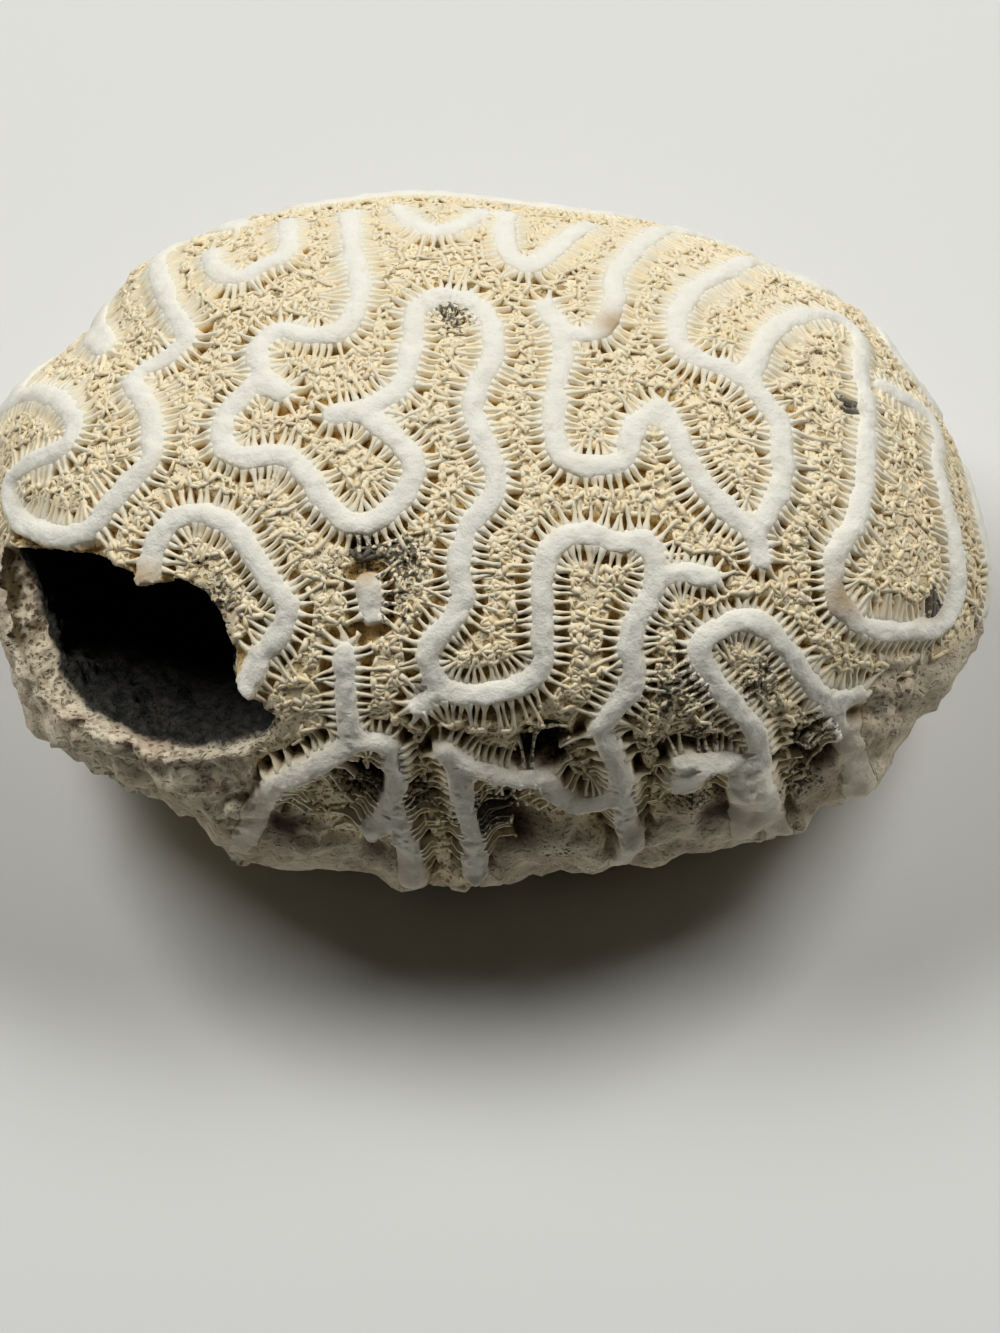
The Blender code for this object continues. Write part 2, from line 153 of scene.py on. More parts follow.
# Wall middles, drawn over the picture in its pixels
WALL_ROUTES = {
    "left_hook": [
        (0, 388), (28, 385), (52, 392), (66, 412), (66, 430), (50, 447), (25, 458), (6, 472), (1, 492),
        (8, 513), (32, 528), (62, 534), (86, 524), (102, 503), (120, 483), (140, 463), (148, 440),
        (147, 415), (138, 392), (128, 376), (140, 362), (163, 350), (181, 335), (178, 320), (163, 300),
        (156, 278), (150, 252),
    ],
    "top_left_arch": [(207, 246), (214, 264), (235, 270), (262, 257), (284, 243), (285, 214)],
    "upper_left_loop": [
        (350, 205), (350, 235), (358, 268), (354, 303), (336, 327), (306, 328), (277, 324), (254, 340),
        (256, 362), (246, 383), (226, 402), (218, 421), (222, 443), (243, 453), (281, 451), (303, 469),
        (320, 495), (340, 515), (367, 520), (392, 504), (410, 479), (411, 456), (392, 431), (367, 410),
    ],
    "upper_left_bump": [(256, 370), (280, 386)],
    "great_meander": [
        (332, 410), (352, 406), (376, 398), (395, 385), (407, 360), (412, 330), (415, 304), (430, 292),
        (449, 288), (471, 294), (488, 310), (495, 332), (491, 357), (480, 378), (473, 400), (480, 426),
        (489, 447), (497, 468), (495, 488), (483, 505), (470, 523), (461, 546), (458, 572), (462, 595),
        (455, 614), (440, 630), (430, 648), (431, 672), (440, 690), (465, 699), (499, 695), (528, 684),
        (542, 662), (543, 622), (542, 584), (549, 553), (565, 535), (591, 530), (618, 538), (643, 536),
        (656, 551), (658, 576), (648, 603), (636, 624), (630, 649), (636, 672), (629, 695), (613, 716),
        (602, 735), (612, 756), (619, 778), (624, 803), (627, 835),
    ],
    "corner_spur": [(440, 693), (418, 710)],
    "side_spur": [(658, 572), (684, 570), (712, 576)],
    "right_hook": [
        (545, 298), (558, 318), (563, 340), (561, 365), (556, 395), (554, 426), (565, 455), (599, 462),
        (625, 456), (631, 433), (645, 411), (663, 404), (676, 426), (691, 456), (710, 487), (735, 511),
        (757, 532), (764, 556),
    ],
    "upper_middle": [
        (560, 322), (582, 327), (604, 320), (614, 293), (617, 266), (635, 243), (660, 223),
    ],
    "right_top_hook": [
        (760, 250), (726, 265), (697, 280), (680, 304), (680, 334), (699, 352), (726, 361), (749, 375),
        (768, 396), (783, 415), (785, 440), (787, 467), (779, 495), (757, 532),
    ],
    "right_wall": [
        (752, 372), (761, 352), (770, 330), (792, 312), (820, 305), (847, 312), (866, 332), (868, 364),
        (873, 395), (874, 425), (872, 456), (868, 494), (860, 522), (843, 545), (838, 572), (843, 600),
        (858, 618), (880, 630), (911, 634), (941, 628), (958, 611), (965, 586), (966, 558), (962, 530),
        (955, 500), (948, 472), (945, 448),
    ],
    "far_right_crest": [(890, 380), (915, 395), (938, 412), (948, 440)],
    "arch": [
        (762, 778), (764, 756), (756, 731), (738, 710), (721, 687), (706, 665), (702, 648), (718, 630),
        (744, 620), (771, 628), (794, 655), (813, 683), (836, 710), (853, 735), (862, 760), (862, 790),
    ],
    "lower_right_ledge": [(684, 768), (706, 770), (733, 767), (764, 770)],
    "hollow_arch": [
        (143, 580), (150, 546), (166, 519), (191, 511), (223, 520), (246, 547), (266, 577), (284, 603),
        (281, 630), (264, 648), (251, 670), (241, 690),
    ],
    "lower_stem": [
        (343, 652), (344, 686), (346, 720), (352, 743), (376, 747), (391, 758), (395, 792), (384, 822),
        (370, 835),
    ],
    "lower_left_branch": [
        (352, 745), (330, 760), (303, 776), (274, 791), (254, 816), (243, 842), (236, 864),
    ],
    "bottom_wall": [
        (444, 757), (472, 773), (512, 786), (544, 787), (556, 802), (580, 813), (606, 810), (622, 800),
    ],
    "bottom_drop": [(446, 758), (460, 782), (464, 812), (472, 845), (478, 878)],
    "top_mound": [(398, 200), (412, 214), (440, 222), (466, 214), (482, 203)],
    "top_right_loop": [(507, 205), (506, 232), (517, 253), (534, 257), (550, 244), (568, 230), (590, 216)],
}

# The lump's edge and the edge of its hollow, drawn over the picture in its pixels
OUTLINE = [
    (-8, 400), (60, 358), (108, 325), (112, 290), (135, 262), (165, 248), (215, 228), (260, 212),
    (310, 203), (385, 196), (410, 193), (500, 203), (600, 213), (650, 220), (700, 235), (775, 262),
    (820, 290), (860, 305), (880, 325), (900, 365), (925, 395), (950, 435), (965, 480), (978, 530),
    (992, 560), (990, 590), (975, 655), (945, 685), (920, 712), (905, 735), (890, 760), (870, 795),
    (800, 815), (775, 845), (700, 850), (640, 862), (600, 868), (525, 868), (490, 886), (465, 886),
    (405, 885), (355, 868), (300, 864), (235, 868), (222, 845), (205, 815), (180, 810), (140, 790),
    (80, 765), (40, 745), (28, 715), (12, 660), (-6, 600), (-12, 520), (-12, 450),
]
HOLLOW_MOUTH = [
    (12, 549), (50, 552), (100, 556), (130, 572), (146, 590), (180, 580), (205, 592), (222, 612), (235, 650),
    (236, 680), (250, 698), (270, 712), (262, 732), (235, 740), (200, 745), (150, 738), (100, 716), (68, 690),
    (50, 650), (34, 600),
]
HOLLOW_RIM = [
    (6, 546), (50, 549), (100, 554), (130, 570), (146, 588), (180, 578), (205, 590), (222, 611), (236, 650),
    (238, 680), (252, 697), (278, 714), (276, 735), (250, 748), (200, 754), (150, 746), (104, 728), (66, 712),
    (40, 690), (20, 648), (6, 600),
]

# Deep pits near the front rim: place in the picture, radius and depth
PITS = [
    ((545, 746), 2.0 * MM, 2.6 * MM),
    ((488, 808), 2.6 * MM, 3.4 * MM),
    ((520, 824), 2.0 * MM, 2.2 * MM),
    ((362, 780), 1.8 * MM, 1.4 * MM),
    ((425, 800), 2.0 * MM, 1.4 * MM),
    ((815, 740), 1.8 * MM, 1.6 * MM),
]

# Dark dirt, and painted shade in the pits: place in the picture, reach in millimetres and strength
STAINS_AND_PIT_SHADES = [
    ((452, 320), 2.6, 0.75),
    ((366, 552), 1.8, 1.0),
    ((400, 560), 3.4, 0.7),
    ((395, 600), 3.0, 0.6),
    ((338, 572), 2.2, 0.5),
    ((855, 413), 1.1, 0.9),
    ((812, 541), 1.0, 0.9),
    ((930, 612), 1.3, 1.0),
    ((675, 690), 4.6, 0.66),
    ((705, 735), 4.2, 0.6),
    ((655, 745), 2.4, 0.6),
    ((545, 748), 2.6, 1.0),
    ((490, 812), 3.2, 1.0),
    ((365, 785), 3.0, 0.8),
    ((422, 795), 2.8, 0.8),
    ((812, 735), 2.8, 0.8),
    ((760, 680), 3.0, 0.7),
    ((200, 560), 2.2, 0.5),
    ((220, 600), 2.4, 0.7),
    ((255, 720), 3.0, 0.6),
    ((800, 780), 3.0, 0.7),
    ((560, 840), 3.0, 0.5),
    ((700, 800), 3.4, 0.6),
]

# Ochre brown patches, partly ochre stain and partly painted shade on shaded wall flanks: place in the picture
# and reach in millimetres
TINGES_AND_SHADES = [
    ((926, 598), 1.3),
    ((612, 330), 1.5),
    ((838, 598), 1.7),
    ((855, 712), 1.1),
    ((365, 572), 1.2),
    ((150, 578), 1.2),
]

# Walls that run on over the worn rim, in the picture's pixels. Only the looks have them
RIM_ROUTES = {
    "island": [(366, 584), (368, 598), (370, 612)],
    "stem_foot": [(393, 815), (400, 840), (407, 862), (412, 884)],
    "meander_foot": [(627, 830), (632, 848), (622, 862)],
    "ledge_fin": [(682, 792), (694, 779), (714, 766)],
    "ledge_foot": [(742, 770), (744, 795), (748, 822), (745, 845)],
    "arch_foot": [(764, 775), (768, 795), (776, 818), (778, 842)],
    "right_foot": [(862, 770), (858, 790), (848, 806)],
    "ochre_pit_rim": [(843, 700), (846, 722), (855, 733), (865, 724), (863, 700)],
}

# Smooth knobs of the worn rim and the hollows between them: place in the picture, reach and rise in
# millimetres
KNOBS = [
    ((238, 856), 1.7, 1.5),
    ((378, 828), 0.9, 1.0),
    ((222, 800), 2.6, 1.0),
    ((218, 835), 1.8, 0.8),
    ((183, 803), 1.2, 1.6),
    ((180, 768), 1.9, 1.5),
    ((142, 768), 1.6, 1.2),
    ((225, 822), 1.9, 1.3),
    ((100, 728), 1.8, 0.8),
    ((68, 730), 1.8, 0.9),
    ((38, 726), 2.0, 1.0),
    ((405, 868), 2.2, 1.0),
    ((475, 872), 2.6, 1.2),
    ((600, 846), 3.0, 1.3),
    ((560, 840), 2.2, 0.8),
    ((628, 832), 1.6, 1.2),
    ((655, 846), 2.0, 1.0),
    ((700, 778), 1.4, 0.8),
    ((750, 785), 1.6, 0.8),
    ((793, 812), 1.7, 1.3),
    ((776, 838), 1.6, 1.0),
    ((860, 772), 2.8, 1.4),
    ((885, 740), 2.0, 0.7),
    ((940, 668), 3.0, 1.0),
    ((258, 692), 1.4, 0.7),
    ((150, 585), 1.3, 0.6),
]
HOLLOWS = [
    ((288, 828), 2.3, 1.5),
    ((374, 848), 1.4, 1.3),
    ((412, 757), 1.1, 1.1),
    ((720, 815), 2.0, 1.5),
    ((816, 752), 2.4, 1.9),
    ((646, 786), 1.0, 0.9),
    ((675, 801), 0.9, 0.9),
    ((854, 712), 1.0, 1.5),
    ((672, 822), 1.4, 0.8),
    ((515, 835), 2.0, 1.2),
    ((330, 842), 1.6, 0.6),
]

# Wall ends without septa: place in the picture, reach in millimetres and strength
BARE = (
    ((366, 572), 0.9, 1.0),
    ((371, 619), 0.7, 1.0),
)

# Cream rubble with small pores: place in the picture and reach in millimetres
RUBBLE = [
    ((222, 790), 4.0),
    ((170, 755), 4.0),
    ((30, 620), 6.0),
    ((80, 700), 5.0),
    ((895, 690), 3.0),
    ((120, 770), 3.0),
]

# The pattern ends along this line over the picture, and below it the rim is worn down to knobs and rubble
WORN_LINE = [
    (-20, 530), (10, 552), (30, 600), (225, 690), (245, 745), (262, 778), (278, 805), (295, 828),
    (345, 838), (400, 845), (430, 872), (470, 882), (490, 846), (515, 824), (560, 820), (600, 830),
    (640, 820), (665, 812), (700, 800), (750, 800), (790, 800), (838, 735), (866, 700), (874, 646),
    (930, 645), (955, 636), (1000, 590),
]

# Between these heights in the picture the valleys go from lit to shaded
LOW_VALLEYS = (690, 780)

# The hollow: its middle in the picture, its depth, and how far it runs in under its upper rim
HOLLOW_PIXEL = (140, 650)
HOLLOW_DEPTH = 22.0 * MM
HOLLOW_UNDERCUT = 6.0 * MM
HOLLOW_FULLNESS = 2 / 3

# Shades that the panel's colours run into
LIT_GAP = (0.94, 0.72, 0.38)
# Painted shade: near black for the gaps of the shaded lower valleys
SHADED_LOW_GAP = (0.05, 0.03, 0.012)
AGED_WALL = (0.82, 0.78, 0.66)
# Painted shade: a warm cream for walls low down and on the worn rim, standing in for the warmth of their
# shade
SHADE_WARMED_WALL = (0.93, 0.85, 0.70)
WORN_BROWN = (0.56, 0.46, 0.34)
WORN_CREAM = (0.82, 0.73, 0.57)
# Dark pores of the worn rim, partly their own brown and partly painted shade inside the holes
WORN_PORE_BROWN_AND_SHADE = (0.14, 0.10, 0.06)
GRIT_BROWN = (0.64, 0.51, 0.38)
GRIT_CREAM = (0.97, 0.88, 0.67)
# Dark pores of the grit, partly their own brown and partly painted shade inside the holes
GRIT_PORE_BROWN_AND_SHADE = (0.15, 0.10, 0.07)
KNOB_CREAM = (0.92, 0.83, 0.64)
# Painted shade in the dips between the worn rim's knobs
DIP_SHADE_BROWN = (0.07, 0.045, 0.025)
# Painted shade: darker brown towards the floor, under the lump
FOOT_SHADE_BROWN = (0.16, 0.12, 0.08)
# Painted shade inside the hollow: near black going to dark grey
HOLLOW_SHADE_BLACK = (0.018, 0.02, 0.018)
HOLLOW_SHADE_GREY = (0.075, 0.07, 0.06)
# Ochre brown of stained patches, also painted shade on shaded wall flanks
TINGE_AND_SHADE_BROWN = (0.50, 0.34, 0.17)
PALE_SEPTA = (0.88, 0.81, 0.64)
# Painted shade: near black for septa in the shaded lower valleys
SHADED_LOW_SEPTA = (0.06, 0.035, 0.015)
PALE_STRUTS = (0.93, 0.86, 0.67)
PINKISH_STRUTS = (0.78, 0.60, 0.46)

# The stage: lamps left and right above the back, the dim room around, and the camera's film
LAMPS = {"left_window": (-0.37, 0.25, 0.6), "right_window": (0.37, 0.25, 0.6)}
LAMP_SIZE = (0.35, 0.26)
LAMP_POWER = 2.6
LAMP_COLOUR = (1.0, 1.0, 0.99)
LAMPS_AIM = Vector((0, 0, 0.02))
ROOM_COLOUR = (1.0, 0.96, 0.90, 1.0)
ROOM_STRENGTH = 0.012
FLOOR_HALF = 4.0
FILM_MM = 36
CLIPPING = (0.01, 20)


class CoralSizes(bpy.types.PropertyGroup):
    """Sizes of the coral's small parts."""

    lump_steps: IntProperty(
        name="Lump Steps", description="Mesh steps along each side of the cube the lump is blown from",
        default=69,
    )
    moat_depth: FloatProperty(
        name="Moat Depth", description="How far the gaps between septa go below the smooth lump",
        default=0.45 * MM, unit="LENGTH",
    )
    ridge_height: FloatProperty(
        name="Ridge Height", description="Height of the spongy valley middle over the smooth lump",
        default=0.45 * MM, unit="LENGTH",
    )
    sponge_depth: FloatProperty(
        name="Sponge Depth", description="Depth of the holes in the spongy valley middle",
        default=0.1 * MM, unit="LENGTH",
    )
    septum_spacing: FloatProperty(
        name="Septum Spacing", description="Distance between neighbouring septa along a wall",
        default=0.66 * MM, unit="LENGTH",
    )
    septum_thickness: FloatProperty(
        name="Septum Thickness", description="Thickness of a septum at its middle",
        default=0.37 * MM, unit="LENGTH",
    )
    hole_spacing: FloatProperty(
        name="Hole Spacing", description="Smallest distance between the sponge's joints",
        default=0.58 * MM, unit="LENGTH",
    )
    strut_thickness: FloatProperty(
        name="Strut Thickness", description="Thickness of a small strut", default=0.4 * MM, unit="LENGTH"
    )


class CoralColours(bpy.types.PropertyGroup):
    """Colours of the worn skeleton."""

    wall: FloatVectorProperty(
        name="Wall", description="Chalky white of the worn walls", subtype="COLOR", default=(0.92, 0.90, 0.81)
    )
    cream: FloatVectorProperty(
        name="Cream", description="Cream of the septa's edges", subtype="COLOR", default=(0.94, 0.83, 0.60)
    )
    tan: FloatVectorProperty(
        name="Tan", description="Tan of the spongy valley floors", subtype="COLOR", default=(0.88, 0.72, 0.46)
    )
    ochre: FloatVectorProperty(
        name="Ochre", description="Ochre between the septa", subtype="COLOR", default=(0.60, 0.42, 0.17)
    )
    brown: FloatVectorProperty(
        name="Brown", description="Brown of the deepest gaps", subtype="COLOR", default=(0.26, 0.16, 0.06)
    )
    # Grey black of the dirt, also used as painted shade in the pits
    dirt_and_pit_shade: FloatVectorProperty(
        name="Dirt", description="Grey black dirt in the pits", subtype="COLOR", default=(0.022, 0.022, 0.022)
    )
    floor: FloatVectorProperty(
        name="Floor", description="Pale floor under the coral", subtype="COLOR", default=(0.78, 0.78, 0.76)
    )


def blown_cube(steps):
    """A bmesh cube, evenly divided, with its points moved out onto the unit sphere."""
    bm = bmesh.new()
    bmesh.ops.create_cube(bm, size=2.0)
    bmesh.ops.subdivide_edges(bm, edges=bm.edges[:], cuts=steps - 1, use_grid_fill=True)
    for vert in bm.verts:
        vert.co = Vector(math.tan(side * math.pi / 4) for side in vert.co).normalized()
    return bm


def points_of(bm):
    return np.array([vert.co for vert in bm.verts])


def move_points(bm, points):
    for vert, point in zip(bm.verts, points):
        vert.co = point


def lumps(points, wavelength):
    """Gentle unevenness between -1 and 1, the same every time."""
    return np.array([noise.noise(Vector(point) / wavelength * 2) for point in points])


def uneven(points, level, *waves):
    """A level with lumps added. Each wave has its height, and its length in millimetres."""
    for height, length in waves:
        level = level + height * lumps(points, length * MM)
    return level


def smooth_step(low, high, values):
    share = np.clip((values - low) / (high - low), 0, 1)
    return share * share * (3 - 2 * share)


class Sight:
    """The place that the picture was seen from."""

    def __init__(self):
        middle = Vector((0, 0, MIDDLE_HEIGHT))
        ahead = Vector((0, math.cos(SIGHT_ELEVATION), -math.sin(SIGHT_ELEVATION)))
        up = Vector((0, math.sin(SIGHT_ELEVATION), math.cos(SIGHT_ELEVATION)))
        off_x = (PICTURE[0] / 2 - PICTURE_MIDDLE[0]) / PIXELS_PER_MM * MM
        off_y = (PICTURE[1] / 2 - PICTURE_MIDDLE[1]) / PIXELS_PER_MM * MM
        self.place = middle - SIGHT_DISTANCE * ahead
        self.turn = (middle + Vector((off_x, 0, 0)) - off_y * up - self.place).to_track_quat("-Z", "Y")
        self.axes = np.array(self.turn.to_matrix())
        self.pixels_away = SIGHT_DISTANCE / MM * PIXELS_PER_MM

    def ray(self, pixel):
        right = pixel[0] - PICTURE[0] / 2
        down = pixel[1] - PICTURE[1] / 2
        return (self.turn @ Vector((right, -down, -self.pixels_away))).normalized()

    def seen_at(self, points):
        """Pixels right of and up from the lump's middle, and the distance along the line of sight."""
        local = (points - np.array(self.place)) @ self.axes
        right = -local[:, 0] / local[:, 2] * self.pixels_away + PICTURE[0] / 2 - PICTURE_MIDDLE[0]
        up = -local[:, 1] / local[:, 2] * self.pixels_away - PICTURE[1] / 2 + PICTURE_MIDDLE[1]
        return right, up, local[:, 2]

    def moved_to(self, right, up, away):
        """The points that are seen at these pixels and distances."""
        x = (right - PICTURE[0] / 2 + PICTURE_MIDDLE[0]) * -away / self.pixels_away
        y = (up + PICTURE[1] / 2 - PICTURE_MIDDLE[1]) * -away / self.pixels_away
        return np.stack([x, y, away], axis=1) @ self.axes.T + np.array(self.place)

    def pixels(self, points):
        right, up, _ = self.seen_at(points)
        return PICTURE_MIDDLE[0] + right, PICTURE_MIDDLE[1] - up

    def on_lump(self, pixel, tree):
        """The lump's point at a pixel, or its nearest one where the pixel is just outside."""
        ray = self.ray(pixel)
        hit = tree.ray_cast(self.place, ray)[0]
        if hit is None:
            abreast = ray.dot(Vector((0, 0, MIDDLE_HEIGHT)) - self.place)
            hit = tree.find_nearest(self.place + ray * abreast)[0]
        return hit

    def facing(self, points, normals):
        towards = np.array(self.place) - points
        return (towards * normals).sum(axis=1) / np.linalg.norm(towards, axis=1)


def ring_reach(ring, middle, angles):
    """How far a ring of pixels is from its middle, in each direction."""
    right = np.array([pixel[0] - middle[0] for pixel in ring])
    up = np.array([middle[1] - pixel[1] for pixel in ring])
    close = np.arange(0, 1, 0.1)[:, None]
    right = (right * (1 - close) + np.roll(right, -1) * close).T.ravel()
    up = (up * (1 - close) + np.roll(up, -1) * close).T.ravel()
    turns = np.arctan2(up, right)
    order = np.argsort(turns)
    return np.interp(angles, turns[order], np.hypot(right, up)[order], period=2 * math.pi)


def around(turns, values):
    """Values that are given for even turns, at other turns."""
    return np.interp(turns, TURNS, values, period=2 * math.pi)


def plain_lump(directions):
    """An ellipsoid with full shoulders and gentle unevenness."""
    power = 2 + FULLNESS * np.clip(directions[:, 2] / 0.6 + 0.6, 0, 1)
    fuller = (np.abs(directions) ** power[:, None]).sum(axis=1) ** (-1 / power)
    points = directions * np.array([HALF_LENGTH, HALF_DEPTH, HALF_HEIGHT]) * fuller[:, None]
    points += directions * (LUMP_HEIGHT * lumps(directions, 1.3))[:, None]
    return points + np.array([0, 0, MIDDLE_HEIGHT])


def smooth_route(corners, step):
    """Points about a step apart on a Catmull-Rom curve through the corners."""
    first = 2 * corners[0] - corners[1]
    last = 2 * corners[-1] - corners[-2]
    ring = [first, *corners, last]
    route = []
    for a, b, c, d in zip(ring, ring[1:], ring[2:], ring[3:]):
        count = max(2, math.ceil((c - b).length / step))
        for k in range(count):
            t = k / count
            bend = 2 * a - 5 * b + 4 * c - d
            twist = 3 * b - a - 3 * c + d
            route.append(0.5 * (2 * b + (c - a) * t + bend * t**2 + twist * t**3))
    return route + [corners[-1]]


def tree_of(points):
    tree = KDTree(len(points))
    for index, point in enumerate(points):
        tree.insert(point, index)
    tree.balance()
    return tree


def nearest_gap(points, tree):
    return np.array([tree.find(point)[2] for point in points])


def neighbours(points, tree, reach):
    """The tree's points within reach of each point: starts and lengths of their runs, numbers, distances."""
    found = [tree.find_range(point, reach) for point in points]
    counts = np.array([len(hits) for hits in found])
    starts = np.concatenate([[0], np.cumsum(counts)[:-1]])
    numbers = np.array([hit[1] for hits in found for hit in hits])
    gaps = np.array([hit[2] for hits in found for hit in hits])
    return starts, counts, numbers, gaps


def even_weights(gaps, spread, starts, counts):
    weights = np.exp(-(gaps**2) / (2 * spread**2))
    return weights / np.repeat(np.add.reduceat(weights, starts), counts)


def grown_walls(points, drawn_gap, seen):
    """1 on walls and -1 in valleys. Seen points keep the drawn walls, and even meanders grow on from them."""
    starts, counts, numbers, gaps = neighbours(points, tree_of(points), GROWTH_REACH * WALL_SPACING)
    near = even_weights(gaps, GROWTH_NEAR * WALL_SPACING, starts, counts)
    wide = even_weights(gaps, GROWTH_WIDE * WALL_SPACING, starts, counts)
    drawn = np.where(drawn_gap < DRAWN_REACH * WALL_SPACING, 1.0, -1.0)
    state = np.where(seen, drawn, lumps(points, WALL_SPACING))
    for _ in range(GROWTH_ROUNDS):
        pull = np.add.reduceat((near - wide) * state[numbers], starts)
        state = np.where(seen, drawn, np.tanh(GROWTH_SHARPNESS * pull))
    return state


class CoralForm:
    """The smooth lump, where its walls run, and where its hollow is."""

    def __init__(self):
        self.sight = Sight()
        self.reach = self.plain_outline()
        coarse = blown_cube(PATTERN_STEPS)
        seeds, seed_normals = self.shape(coarse)
        self.tree = BVHTree.FromBMesh(coarse)
        for vert, normal in zip(coarse.verts, seed_normals):
            vert.co += Vector(normal) * CREST
        crests = BVHTree.FromBMesh(coarse)
        coarse.free()
        walls = self.under_crests(WALL_ROUTES, crests)
        self.drawn_tree = tree_of(walls)
        gap = nearest_gap(seeds, self.drawn_tree)
        facing = self.sight.facing(seeds, seed_normals)
        seen = (facing > WELL_SEEN) | ((facing > BARELY_SEEN) & (gap < SURE_REACH * WALL_SPACING))
        self.state = grown_walls(seeds, gap, seen)
        self.drawn_tree = tree_of(walls + self.under_crests(RIM_ROUTES, crests))
        self.seed_tree = tree_of(seeds)
        self.seed_side = self.side(seeds, seed_normals)
        starts, _, numbers, _ = neighbours(seeds, self.seed_tree, WIDTH_REACH)
        self.seed_width = np.maximum.reduceat(self.seed_side[numbers], starts)
        self.set_hollow()

    def under_crests(self, routes, crests):
        """Points on the lump below routes that are drawn along the tops of walls."""
        found = []
        for route in routes.values():
            tops = [self.sight.on_lump(pixel, crests) for pixel in route]
            found += smooth_route([self.tree.find_nearest(top)[0] for top in tops], ROUTE_STEP)
        return found

    def plain_outline(self):
        """The plain lump's reach from its middle as it is seen, in even turns."""
        bm = blown_cube(PATTERN_STEPS)
        right, up, _ = self.sight.seen_at(plain_lump(points_of(bm)))
        bm.free()
        slots = np.floor(np.arctan2(up, right) / (2 * math.pi) * OUTLINE_STEPS).astype(int) % OUTLINE_STEPS
        reach = np.zeros(OUTLINE_STEPS)
        np.maximum.at(reach, slots, np.hypot(right, up))
        return reach

    def surface(self, directions):
        """The smooth lump, moved out or in so that its seen edge is the traced one."""
        right, up, away = self.sight.seen_at(plain_lump(directions))
        turns = np.arctan2(up, right)
        ratio = (ring_reach(OUTLINE, PICTURE_MIDDLE, TURNS) - OUTLINE_INSET) / self.reach
        ratio = (np.roll(ratio, 1) + 2 * ratio + np.roll(ratio, -1)) / 4
        share = np.minimum(np.hypot(right, up) / around(turns, self.reach), 1) ** 2
        grow = 1 + (around(turns, ratio) - 1) * share
        return self.sight.moved_to(right * grow, up * grow, away)

    def shape(self, bm):
        """Moves a blown cube's points onto the smooth lump. Returns them and their normals."""
        move_points(bm, self.surface(points_of(bm)))
        bm.normal_update()
        return points_of(bm), np.array([vert.normal for vert in bm.verts])

    def side(self, points, normals):
        """Signed distance to the nearest wall's side, below 0 on a wall."""
        starts, counts, numbers, gaps = neighbours(points, self.seed_tree, SIDE_REACH)
        weights = even_weights(gaps, SIDE_SPREAD, starts, counts)
        grown = np.add.reduceat(weights * self.state[numbers], starts)
        level = np.quantile(grown, 1 - GROWN_SHARE * WALL_WIDTH / WALL_SPACING)
        gap = nearest_gap(points, self.drawn_tree)
        facing = self.sight.facing(points, normals)
        close = np.clip((0.6 - gap / WALL_SPACING) / 0.2, 0, 1) * np.clip((facing - 0.14) / 0.12, 0, 1)
        share = np.maximum(close, np.clip((facing - 0.45) / 0.1, 0, 1))
        return share * (gap - WALL_WIDTH / 2) + (1 - share) * (level - grown) * GROWN_SLOPE * WALL_SPACING

    def bank(self, points):
        """How far from the wall's side the valley's raised middle starts."""
        starts, counts, numbers, gaps = neighbours(points, self.seed_tree, BANK_REACH)
        weights = even_weights(gaps, BANK_SPREAD, starts, counts)
        width = np.add.reduceat(weights * self.seed_width[numbers], starts)
        return np.clip(BANK_SHARE * width, NARROWEST_BANK, BANK_START) + 0.15 * MM * lumps(points, 2.4 * MM)

    def set_hollow(self):
        """Distances to the hollow's rim and to its middle, along the line of sight."""
        edge = []
        for turn, far in zip(TURNS, ring_reach(HOLLOW_RIM, HOLLOW_PIXEL, TURNS)):
            pixel = (HOLLOW_PIXEL[0] + math.cos(turn) * far, HOLLOW_PIXEL[1] - math.sin(turn) * far)
            edge.append(self.sight.on_lump(pixel, self.tree))
        self.rim_away = self.sight.seen_at(np.array(edge))[2]
        middle = self.sight.on_lump(HOLLOW_PIXEL, self.tree)
        self.hollow_away = self.sight.seen_at(np.array([middle]))[2][0]

    def hollow_share(self, points, normals):
        """How far out each point is in the hollow's mouth as it is seen: 0 in its middle, 1 at its rim."""
        right, up, _ = self.sight.seen_at(points)
        right = right - HOLLOW_PIXEL[0] + PICTURE_MIDDLE[0]
        up = up - PICTURE_MIDDLE[1] + HOLLOW_PIXEL[1]
        turns = np.arctan2(up, right)
        share = np.hypot(right, up) / ring_reach(HOLLOW_RIM, HOLLOW_PIXEL, turns)
        return np.where(self.sight.facing(points, normals) > 0, share, 9.0), turns

    def into_hollow(self, share, turns):
        """Points of the hollow's inside, for places in its mouth."""
        angle = np.linspace(0, math.pi / 2, 60)
        deep = np.sin(angle) ** HOLLOW_FULLNESS
        wide = np.cos(angle) ** HOLLOW_FULLNESS
        run = np.concatenate([[0], np.cumsum(np.hypot(np.diff(deep) * 2.2, np.diff(wide)))])
        place = (1 - share) * run[-1]
        deep = np.interp(place, run, deep)
        wide = np.interp(place, run, wide)
        mouth = ring_reach(HOLLOW_MOUTH, HOLLOW_PIXEL, turns)
        rim = ring_reach(HOLLOW_RIM, HOLLOW_PIXEL, turns)
        reach = wide * (rim + (mouth - rim) * smooth_step(0, 0.3, deep))
        pixels_per_m = -self.sight.pixels_away / self.hollow_away
        edge_away = around(turns, self.rim_away)
        away = edge_away + (self.hollow_away - edge_away) * smooth_step(0, 0.5, deep) - HOLLOW_DEPTH * deep
        right = np.cos(turns) * reach + (HOLLOW_PIXEL[0] - PICTURE_MIDDLE[0])
        raised = PICTURE_MIDDLE[1] - HOLLOW_PIXEL[1] + HOLLOW_UNDERCUT * deep * pixels_per_m
        return self.sight.moved_to(right, np.sin(turns) * reach + raised, away)


def set_layer(bm, name, values):
    layer = bm.verts.layers.float.new(name)
    for vert, value in zip(bm.verts, values):
        vert[layer] = value


